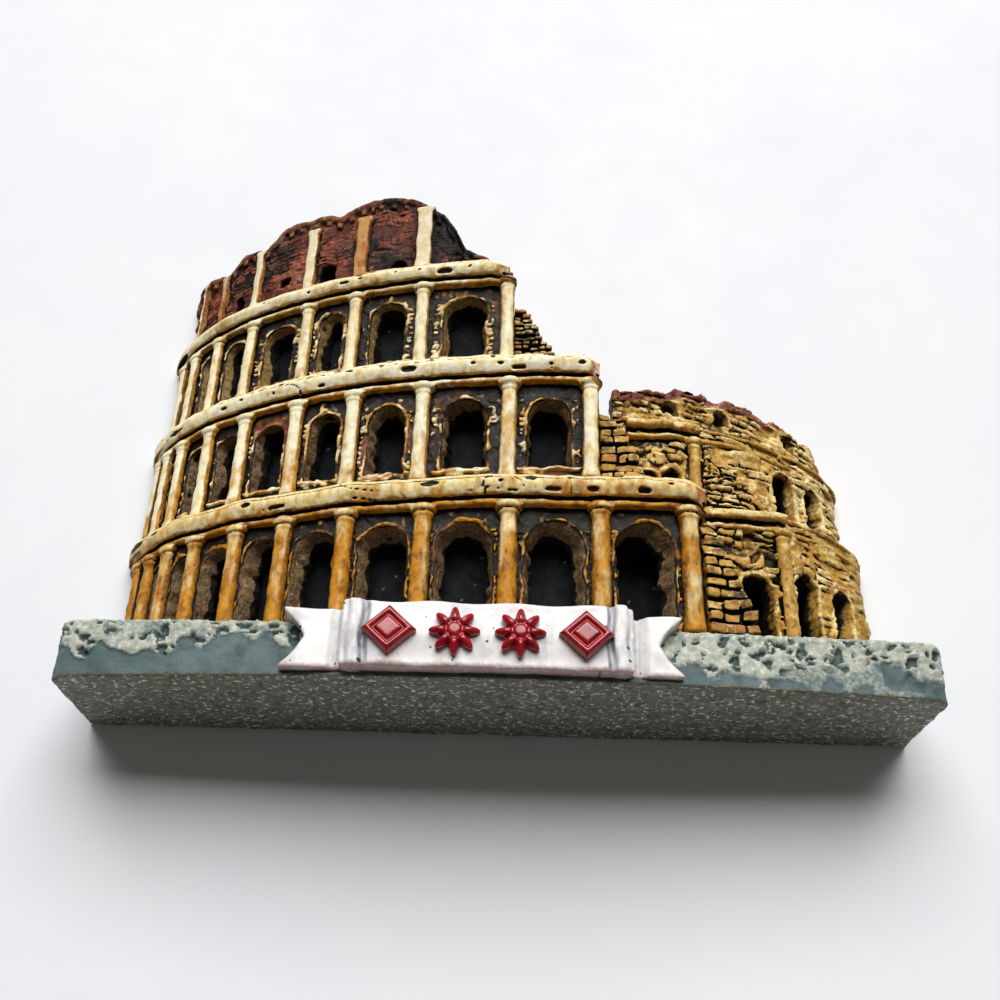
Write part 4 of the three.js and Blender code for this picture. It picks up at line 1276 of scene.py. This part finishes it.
def rubble_piece(name, heap, paint, brick=False):
    """Stepped courses of separate stones, widest at the foot, with dark joints; painted highlight on fronts
    turned up, and painted shade in the joints and under the courses.
    """
    seed, foot = heap["seed"], heap["foot"]
    left, back = heap["left"] - 0.5, heap["back"] - 1.2
    high = (left + heap["foot_width"] + 1.2, heap["top"] + 0.5, heap["front"] + 0.5)
    grid = Grid((left - 0.3, foot - 0.4, back), high, RUBBLE_STEP)
    u, v, w = grid.u, grid.v, grid.w
    tilt = 0.12 * np.sin(1.3 * (u - left) + seed) + 0.1 * np.sin(0.6 * v + seed)
    level, out = v - tilt, w + 0.12 * np.sin(2.2 * v + u)
    body = np.full(grid.shape, FAR)
    for course in range(heap["courses"]):
        stones, (low, top, width, front) = course_stones(u - left, level, out, heap, course, brick)
        filler = box_field(u - left, level, w, (0, low, back), (width, top, front))
        body = join(body, *stones, filler)
    shape = Shape(grid, np.maximum(body, foot - 0.2 - v))
    p, n = shape.points, shape.normals
    near, far, sharp = shape.openness(0.3), shape.openness(0.7), shape.sharpness(0.3)
    shape.push(0.12 * rough(p, 0.9, seed + 2) + 0.05 * rough(p, 0.35, seed + 3))
    behind = 1 - step_up(p[:, 2], heap["front"] - 1.6, heap["front"] - 0.8)
    # Fronts turned up are made paler as painted highlight; joints, hollows and undersides darker as painted
    # shade.
    masks = {
        "cover": 0.75 + 0.35 * noise(p, 1.8, seed + 4),
        "warm_tone_and_shade": 0.15 + 0.4 * noise(p, 2.4, seed + 5),
        "red": brick * (0.5 * behind + 0.25 * noise(p, 1.5, seed + 6)),
        "light": 0.28 * step_up(n[:, 2], 0.3, 0.9) + 0.7 * (sharp - 0.4) + 0.3 * noise(p, 0.8, seed + 7),
        "wash_and_shade": 1.4 * (1 - near) + 0.5 * (1 - far) - 0.25 + 0.6 * step_up(-n[:, 1], 0.3, 0.8),
    }
    add_piece(name, shape, paint, masks)


# ---- Base and ribbon ----


def base_front(x, level):
    """Depth of the base's bowed front at a place along it and a height up it."""
    up = np.clip(level / BASE["height"], 0, 1)
    bulge = BASE["bulge_low"] + (BASE["bulge_top"] - BASE["bulge_low"]) * up
    return BASE["end_depth"] + bulge * (1 - (x / (BASE["width"] / 2)) ** 2)


def slate_paint():
    """Grey-blue slate under a pale crust, with a dark flecked underside."""
    paint = Paint("slate_paint", (0.42, 0.68), 0.3)
    paint.ground(("506364", "607473", "445556"), 3.5)
    paint.layer("under", ("6f6f62", "7c7c6d", "5a5c50"), size=1.6, breakup=0.3, grain=0.4)
    flecks = paint.spread(paint.mottle(0.5, 4.0, sharp=0.7), 0.565, 0.6)
    flecks = paint.math("MULTIPLY", flecks, paint.spread(paint.attribute("under"), 0.4, 0.8))
    flecks = paint.math("MULTIPLY", flecks, paint.spread(paint.mottle(2.5), 0.3, 0.6, 0.5, 1.0))
    paint.colour = paint.mix(flecks, paint.colour, paint.varied(("e0e0d2", "f4f4ea"), 0.5))
    paint.layer("crust", ("bcbfae", "9fa69a", "d5d7c8"), size=0.9, breakup=0.45, grain=0.35, edge=0.22)
    paint.layer("dirt", ("5f5a48", "857a5c"), size=0.6, breakup=0.6, grain=0.4, edge=0.2)
    # Darker in the crust's pits as painted shade, and in random patches off the crust.
    paint.layer("wash_and_shade", ("3a4746", "4c5a58"), size=0.5, breakup=0.4, grain=0.3, edge=0.22)
    return paint.finish(bump=0.05, bump_size=0.3)


def base_piece():
    """The slab, with a pitted crust that runs down its bowed front and ends in scallops."""
    half, height, depth = BASE["width"] / 2, BASE["height"], BASE["end_depth"] + BASE["bulge_low"]
    grid = Grid((-half, 0, 0), (half, height, depth), BASE_STEP)
    u, v, w = grid.u, grid.v, grid.w
    body = box_field(u, v, w, (-half, 0, -0.5), (half, height, 30), 0.22)
    front = w - base_front(u, v)
    body = soft_meet(body, front, 0.4)
    cut_corner = (np.abs(u) + w - half - BASE["end_depth"] + BASE["corner"]) / math.sqrt(2)
    body = soft_meet(body, cut_corner, 0.4)
    shape = Shape(grid, np.maximum(body, 0.02 - w))
    p, n = shape.points, shape.normals
    x, y, _ = p.T
    faces_out, faces_down = step_up(n[:, 2], 0.35, 0.8), step_up(-n[:, 1], 0.4, 0.85)
    faces_up = step_up(n[:, 1], 0.4, 0.85)
    to_right = step_up(x, 8, 20)
    wide = noise(np.stack([x, 0 * x, 0 * x], axis=1), 7, 201)
    scallop = noise(np.stack([x, y, 0 * x], axis=1), 1.5, 202)
    reach = 2.1 + 1.2 * wide + 0.9 * scallop + 1.5 * to_right + 0.8 * step_up(-x, 33, 38)
    crust = step_up(y - (height - reach), -0.35 - 0.9 * to_right, 0.3) * faces_out
    # Upward faces, turned to the lamp, are made pale too: painted highlight on top of the real crust, here
    # and in the crust mask.
    crust = np.maximum(crust, 0.9 * faces_up)
    holes = crust * faces_out * step_up(y, 0.8, 1.8)
    warped = x + 0.5 * noise(p, 1.1, 203)
    pit, pit_name = spots(warped, 1.5 * (y + 0.5 * noise(p, 0.9, 204)), 1.05, 205, 0.55)
    pits = step_up(0.24 + 0.28 * pit_name - pit, -0.12, 0.1) * holes
    lip = hump(pit - 0.34 - 0.28 * pit_name, 0.1) * holes
    ridges = 1 - np.abs(noise(p * [1, 1.3, 1], 1.15, 209))
    ridges = step_up(ridges, 0.62, 0.95) * holes
    blisters = step_up(noise(p, 1.5, 210), 0.2, 0.7) * faces_out * (1 - crust) * to_right
    shape.push(
        0.16 * crust * (1 - pits) - 0.3 * pits + 0.1 * lip + 0.14 * ridges * (1 - pits) + 0.12 * blisters
        + 0.06 * rough(p, 1.2, 208) + 0.09 * crust * rough(p, 0.5, 211) - 0.16
        + 0.05 * faces_down * rough(p, 0.5, 212)
    )
    shape.points = np.clip(shape.points, [-half, 0, 0], [half, height, depth])
    chipped = step_up(rough(p, 0.8, 214), -0.1, 0.5)
    thickness = 0.68 + 0.2 * to_right - 0.95 * pits + 0.28 * lip + 0.3 * ridges + 0.25 * noise(p, 1.8, 217)
    foot_chips = 0.8 * hump(y, 0.3) * chipped * faces_out
    masks = {
        "under": faces_down,
        "crust": crust * thickness + 0.25 * faces_up + foot_chips + 0.45 * blisters,
        "dirt": 0.6 * hump(y - 0.2, 0.3) * faces_out + 0.2 * noise(p, 1.5, 215) * (1 - faces_down),
        # Painted shade in the pits, and random darker patches off the crust.
        "wash_and_shade": 0.85 * pits * (0.6 + 0.5 * pit_name) + 0.3 * noise(p, 3, 216) * (1 - crust),
    }
    add_piece("base_slab", shape, slate_paint(), masks)


def ribbon_paint():
    """Glossy white with painted grey shade in its folds, a pink stain and dark specks, which also darken
    tight creases as painted shade.
    """
    paint = Paint("ribbon_paint", (0.26, 0.42))
    paint.ground(("ece8e6", "f5f3f1", "e2dddc"), 2.5)
    grey, pink = ("8e949c", "a9aeb4", "74787f"), ("b98a86", "a87a70", "cbb0a8")
    paint.layer("shade", grey, size=0.8, breakup=0.45, grain=0.5, edge=0.35, stretch=(1, 2.5, 1))
    paint.layer("blush", pink, size=0.8, breakup=0.5, grain=0.4, edge=0.35, amount=0.8)
    paint.layer("specks_and_crease_shade", ("2a2422", "4a3f3a"), size=0.3, breakup=0.35, grain=0.22, edge=0.1)
    return paint.finish(bump=0.012, bump_size=0.5, coat=0.25)


def ribbon_field(grid, x_range, front, low, high, folds=()):
    """A strip of ribbon that hangs over the base's front, with raised folds."""
    u, v, w = grid.u, grid.v, grid.w
    bow = 0.12 * np.cos(u * 0.9) + 0.08 * np.sin(1.3 * v)
    back = base_front(u, v) - 0.1
    top = high + 0.14 * np.sin(0.9 * u + 1)
    body = box_field(u, (v - low) / (top - low) * (high - low) + low, w + bow,
                     (x_range[0], low, 12), (x_range[1], high, front), 0.3)
    for centre, width, rise in folds:
        across = u - 0.12 * np.sin(1.4 * v) - centre
        strip = box_field(
            across, v, w, (-width / 2, low - 0.1, 13), (width / 2, high + 0.1, front + rise), 0.28)
        groove = np.hypot(np.abs(across) - width / 2 - 0.28, w - front - 0.05) - 0.3
        body = soft_cut(np.minimum(body, strip), groove, 0.15)
    return np.maximum(body, back - w - 0.6)


def ribbon_masks(shape, seed, low, seams):
    """Painted shade in the hollows and along the dark seams, a pink stain along the foot, and dark specks,
    which also darken the tightest creases as painted shade.
    """
    p = shape.points
    near, far = shape.openness(0.35), shape.openness(0.9)
    speck, name = spots(p[:, 0], p[:, 1], 1.9, seed, 0.3)
    seam = np.zeros(len(p))
    for place in seams:
        seam = np.maximum(seam, hump(p[:, 0] - place, 0.28))
    stain = hump(p[:, 1] - low - 0.5, 0.12) * step_up(noise(p, 1.6, seed + 4), -0.1, 0.5)
    return {
        "shade": 0.95 * (1 - far) + 0.6 * (1 - near) - 0.2 + 0.15 * noise(p, 2.5, seed + 1) + 0.62 * seam,
        "blush": 0.95 * hump(p[:, 1] - low, 0.5) + 0.3 * noise(p, 2.2, seed + 2) - 0.05,
        # Dark specks, and the tightest creases darkened as painted shade.
        "specks_and_crease_shade": step_up(0.05 + 0.06 * name - speck, -0.03, 0.03) + 0.9 * (1 - near) - 0.45
                  + 0.5 * stain + 0.1 * noise(p, 0.5, seed + 3),
    }


def ribbon_pieces():
    """The panel with a fold near each end, and a swallow-tailed end on each side of it."""
    paint = ribbon_paint()
    middle, half, low, front = RIBBON["middle"], RIBBON["half_panel"], RIBBON["low"], RIBBON["front"]
    left, right = middle - half, middle + half
    high = (right + 0.3, RIBBON["panel_top"] + 0.5, front + 0.5)
    grid = Grid((left - 0.3, low - 0.3, 12), high, RIBBON_STEP)
    folds = [(middle + side * (half - 1.15), 1.25, 0.22) for side in (-1, 1)]
    body = ribbon_field(grid, (left, right), front - 0.12, low, RIBBON["panel_top"] - 0.15, folds)
    shape = Shape(grid, body, smooth=3)
    shape.push(0.03 * rough(shape.points, 2.5, 221) - 0.02)
    masks = ribbon_masks(shape, 223, low, (left + 2.1, right - 2.1))
    add_piece("ribbon_panel", shape, paint, masks)
    for side, label, end in ((-1, "left", RIBBON["left_end"]), (1, "right", RIBBON["right_end"])):
        joined = middle + side * (half - 0.15)
        ends = sorted((joined, end))
        high = (ends[1] + 0.3, RIBBON["tail_top"] + 0.5, front)
        grid = Grid((ends[0] - 0.3, low - 0.3, 11.5), high, RIBBON_STEP)
        body = ribbon_field(grid, ends, front - 1.0, low, RIBBON["tail_top"] - 0.1)
        waist = (low + RIBBON["tail_top"]) / 2
        slope = (RIBBON["tail_top"] - low) / 2 / RIBBON["notch"]
        from_notch = side * (grid.u - end) + RIBBON["notch"]
        swallow = (np.abs(grid.v - waist) - from_notch * slope) / math.hypot(1, slope)
        body = soft_cut(body, swallow + 0.1 * np.sin(2.3 * grid.v), 0.25)
        tuck = 0.6 * hump(side * (grid.u - joined) - 0.5, 0.6)
        body = np.maximum(body, grid.w - front + 1.05 + tuck + 0.2 * np.sin(0.9 * grid.u) ** 2)
        shape = Shape(grid, body, smooth=3)
        shape.push(0.03 * rough(shape.points, 1.8, 231) - 0.02)
        name = f"ribbon_tail_{label}"
        masks = ribbon_masks(shape, 233, low, (joined + 0.5 * side,))
        add_piece(name, shape, paint, masks)


def rosette_field(across, up, reach, front):
    """Rim and raised surface of a flower with pointed petals round a button."""
    away, turn = np.hypot(across, up), np.arctan2(up, across)
    petals = MOTIF["petals"]
    rim = (away - reach * (0.82 + 0.18 * np.cos(petals * turn))) * 0.8
    surface = front - 0.42 * step_up(rim, -0.9, 0) - 0.2 * hump(away - 0.3 * reach, 0.17)
    between = hump(np.cos(petals * turn / 2), 0.3) * step_up(away, 0.32 * reach, 0.5 * reach)
    return rim, surface - 0.24 * between


def lozenge_field(across, up, reach, front):
    """Rim and raised surface of a bevelled lozenge with a sunk frame."""
    wide = MOTIF["pitch"] / 2 - 0.3
    rim = (np.abs(across) / wide + np.abs(up) / reach - 1) / math.hypot(1 / wide, 1 / reach)
    surface = front - 0.4 * step_up(rim, -0.45, 0) - 0.24 * hump(rim + 0.8, 0.14)
    return rim, surface


def motif_pieces():
    """Raised ornaments in red enamel: lozenges at the ends and rosettes in the middle."""
    paint = Paint("red_enamel", (0.18, 0.34))
    paint.ground(("9c0f1d", "b01822", "850c19"), 1.6)
    paint.layer("edge", ("c4424a", "d96a68"), size=0.6, breakup=0.5, grain=0.35, edge=0.3, amount=0.6)
    paint.layer("wash_and_shade", ("4a0a10", "5e1016"), size=0.5, breakup=0.3, grain=0.3, edge=0.3, amount=0.8)
    enamel = paint.finish(bump=0.012, bump_size=0.35, coat=0.4)
    back = RIBBON["front"] - 0.3
    front = RIBBON["front"] + 0.1 + MOTIF["thickness"]
    for index in range(4):
        x = RIBBON["middle"] + (index - 1.5) * MOTIF["pitch"]
        y = (RIBBON["low"] + RIBBON["panel_top"]) / 2
        reach = MOTIF["height"] / 2
        grid = Grid((x - 2.9, y - 2.7, back), (x + 2.9, y + 2.7, front + 0.2), MOTIF_STEP)
        across, up, out = grid.u - x, grid.v - y, grid.w
        ornament = rosette_field if index in (1, 2) else lozenge_field
        rim, surface = ornament(across, up, reach, front)
        body = soft_meet(np.maximum(rim + 0.08, back + 0.05 - out), out - surface, 0.18)
        shape = Shape(grid, body, smooth=2)
        p = shape.points
        shape.points = np.minimum(p, [np.inf, np.inf, TOP_FRONT])
        masks = {
            "edge": 1.3 * (shape.sharpness(0.3) - 0.45) + 0.2 * noise(p, 0.8, 241),
            # Painted shade in the hollows of each ornament.
            "wash_and_shade": 1.2 * (1 - shape.openness(0.3)) - 0.1,
        }
        name = f"motif_{index + 1}"
        add_piece(name, shape, enamel, masks)


# ---- Magnets and cast backing ----


def disc_piece(name, place, radius, back, front, material, ragged):
    """A disc on the back; ragged is how far its rim wavers."""
    x, y = place
    reach = radius + 0.5
    low = (x - reach, y - reach, max(0, back - 0.2))
    grid = Grid(low, (x + reach, y + reach, front + 0.2), DISC_STEP)
    away = np.hypot(grid.u - x, grid.v - y)
    turn = np.arctan2(grid.v - y, grid.u - x)
    wobble = ragged * (np.sin(5 * turn + x) + 0.6 * np.sin(11 * turn))
    rounding = min(0.3, (front - back) * 0.4)
    body = box_field(
        away + wobble, grid.w, 0, (-radius, back + 0.06, -9), (radius - 0.05, front, 9), rounding)
    shape = Shape(grid, body, smooth=2)
    p = shape.points
    shape.push(0.03 * rough(p, 0.9, 251) - 0.03)
    shape.points[:, 2] = np.maximum(shape.points[:, 2], 0)
    masks = {"wear": 1.2 * (shape.sharpness(0.4) - 0.4) + 0.25 * noise(p, 1.6, 252)}
    add_piece(name, shape, material, masks)


def magnet_pieces():
    """Two ferrite discs, each on a ragged disc of clear glue."""
    paint = Paint("ferrite", (0.4, 0.62))
    paint.ground(("2b2b2d", "343436", "232325"), 0.8)
    paint.layer("wear", ("55555a", "6a6a6e"), size=0.4, breakup=0.5, grain=0.3, edge=0.2, amount=0.7)
    ferrite = paint.finish(bump=0.02, bump_size=0.22)
    paint = Paint("clear_glue", (0.18, 0.35))
    paint.ground(("cdbf94", "dccfa8", "b9a878"), 1.5)
    paint.layer("wear", ("e6dcc0", "f0e8d2"), size=0.6, breakup=0.4, grain=0.5, edge=0.25, amount=0.6)
    glue = paint.finish(bump=0.02, bump_size=0.8, coat=0.4)
    radius, thick = MAGNET["radius"], MAGNET["thickness"]
    glue_top = thick + MAGNET["glue"]
    for side, place in MAGNETS.items():
        disc_piece(f"magnet_{side}", place, radius, 0, thick, ferrite, 0.0)
        disc_piece(f"adhesive_{side}", place, radius - 1, thick - 0.05, glue_top, glue, 0.25)


def core_paint():
    """Near-black backing with ochre dust on its broken top and a few pale specks."""
    paint = Paint("backing_paint", (0.6, 0.85), 0.06)
    paint.ground(("191b1c", "202325", "141516"), 2.5)
    paint.layer("dust", ("5e4f3a", "7d6a4a", "40362a"), size=0.9, breakup=0.6, grain=0.5, edge=0.3)
    paint.layer("specks_and_crease_shade", ("8a94a0", "5c666f"), size=0.3, breakup=0.3, grain=0.2, edge=0.08, amount=0.5)
    return paint.finish(bump=0.03, bump_size=0.5)


def core_piece(name, curve, inset, outline, side, magnet):
    """Cast backing: fills the wall's plan as far as an inset, broken off along its top."""
    half, deep = curve["half_width"] - inset, curve["depth"] - inset
    xs = sorted((CENTRE_X, CENTRE_X + side * half))
    top = max(y for _, y in outline)
    grid = Grid((xs[0] - 0.3, BASE["height"] - 0.2, 0.04), (xs[1] + 0.3, top + 0.4, deep + 0.4), CORE_STEP)
    u, v, w = grid.u, grid.v, grid.w
    across = (u - CENTRE_X) / half
    span = np.sqrt(across**2 + (w / deep) ** 2)
    slope = np.sqrt((across / half) ** 2 + (w / deep / deep) ** 2) / np.maximum(span, 1e-6)
    plan = (span - 1) / np.maximum(slope, 1e-6)
    flat = outline_field(u[:, :, 0], v[:, :, 0], outline)[..., None]
    body = meet(plan, flat, 0.1 - w, BASE["height"] - v)
    body = np.maximum(body, (CENTRE_X - u) * side + 0.05)
    x, y = magnet
    beside = np.hypot(u - x, v - y) - MAGNET["radius"] - 0.2
    pocket = np.maximum(beside, w - MAGNET["thickness"] - MAGNET["glue"] - 0.1)
    shape = Shape(grid, np.maximum(body, -pocket), smooth=2)
    p = shape.points
    on_top = step_up(grid.sheet(flat[..., 0], p), -0.7, -0.2)
    shape.push(0.3 * rough(p, 2.2, 261) * on_top + 0.08 * rough(p, 0.8, 262) - 0.15)
    shape.points[:, 2] = np.maximum(shape.points[:, 2], 0.05)
    speck, tag = spots(p[:, 0], p[:, 1], 1.6, 263, 0.35)
    masks = {
        "dust": 0.75 * on_top + 0.3 * noise(p, 1.5, 264) * on_top + 0.6 * step_up(2.5 - p[:, 2], 0, 1.5),
        "specks_and_crease_shade": step_up(0.07 + 0.04 * tag - speck, -0.03, 0.03) * (1 - on_top),
    }
    add_piece(name, shape, core_paint(), masks)


def core_pieces():
    """The backing's two halves, which meet where the walls' plans do."""
    inset = ATTIC["face"] + WALL_DEPTH - 0.1
    outline = [
        (-41, 5), (CENTRE_X, 5), (CENTRE_X, 32), (4, 36), (-0.5, 43), (-3, 46.5), (-7, 50), (-9, 54),
        (-13, 57), (-20, 55.5), (-27, 52), (-33, 47.5), (-41, 42),
    ]
    core_piece("facade_core", FACADE, inset, outline, -1, MAGNETS["left"])
    outline = [(CENTRE_X, 5), (40, 5), (40, 24), (33, 28), (25, 31), (CENTRE_X, 32.5)]
    inset = PARAPET["setback"] + INNER_DEPTH - 0.1
    core_piece("inner_core", PARAPET["curve"], inset, outline, 1, MAGNETS["right"])


def build():
    """Every piece, from the facade's storeys to the backing behind them."""
    facade_pieces()
    ochre, cream = ("b8783a", "cf9a58", "96592a"), ("efe2be", "e0cb98", "f6edd4")
    attic_pieces(facade_paint("pilaster_paint", ochre, cream))
    stone = inner_paint()
    inner_storey(INNER_GROUND, "inner_ground", stone)
    inner_storey(INNER_UPPER, "inner_upper", stone)
    parapet_piece(stone)
    rubble_piece("ground_rubble", GROUND_RUBBLE, stone)
    rubble_piece("second_rubble", SECOND_RUBBLE, stone)
    rubble_piece("third_brick_break", THIRD_BREAK, stone, brick=True)
    base_piece()
    ribbon_pieces()
    motif_pieces()
    magnet_pieces()
    core_pieces()


# ---- Setting ----


def area_light(name, place, size, power):
    """A rectangular light that points at the object."""
    light = bpy.data.lights.new(name, "AREA")
    light.shape = "RECTANGLE"
    light.size, light.size_y = size
    light.energy = power
    made = bpy.data.objects.new(name, light)
    made.location = place
    made.rotation_mode = "QUATERNION"
    made.rotation_quaternion = (-Vector(place)).to_track_quat("-Z", "Y")
    bpy.context.scene.collection.objects.link(made)


def camera():
    """The camera looks down on the relief from beyond its foot, rolled a little."""
    tilt, yaw, roll = (math.radians(CAMERA[key]) for key in ("tilt", "yaw", "roll"))
    turn = Matrix.Rotation(yaw, 3, "Z")
    forward = turn @ Vector((0, math.cos(tilt), -math.sin(tilt)))
    right = turn @ Vector((1, 0, 0))
    up = right.cross(forward)
    across = math.cos(roll) * right + math.sin(roll) * up
    upward = math.cos(roll) * up - math.sin(roll) * right
    made = bpy.data.objects.new("camera", bpy.data.cameras.new("camera"))
    made.data.sensor_width = 36
    made.data.lens = CAMERA["lens"]
    made.data.clip_start, made.data.clip_end = 0.005, 5
    place = Matrix((across, upward, -forward)).transposed().to_4x4()
    place.translation = (CAMERA["across"], (UNDERSIDE - CAMERA["below"]) * MM, CAMERA["height"])
    made.matrix_world = place
    bpy.context.scene.collection.objects.link(made)
    bpy.context.scene.camera = made


def studio():
    """A plain pale floor, a soft window light from behind and above, and a faint fill."""
    floor = bpy.data.meshes.new("floor")
    corners = [(x * FLOOR_HALF, y * FLOOR_HALF, 0) for x, y in ((-1, -1), (1, -1), (1, 1), (-1, 1))]
    floor.from_pydata(corners, [], [(0, 1, 2, 3)])
    paint = Paint("floor_paint", (0.55, 0.65))
    paint.ground(("eef0f4", "f2f3f6"), 30)
    floor.materials.append(paint.finish(bump=0, bump_size=2))
    made = bpy.data.objects.new("floor", floor)
    bpy.context.scene.collection.objects.link(made)
    world = bpy.data.worlds.new("studio")
    world.use_nodes = True
    background = world.node_tree.nodes["Background"]
    background.inputs["Color"].default_value = WORLD["colour"]
    background.inputs["Strength"].default_value = WORLD["strength"]
    bpy.context.scene.world = world
    for name, (place, size, power) in LIGHTS.items():
        area_light(name, place, size, power)
    bpy.context.scene.view_settings.view_transform = "Standard"


build()
camera()
studio()
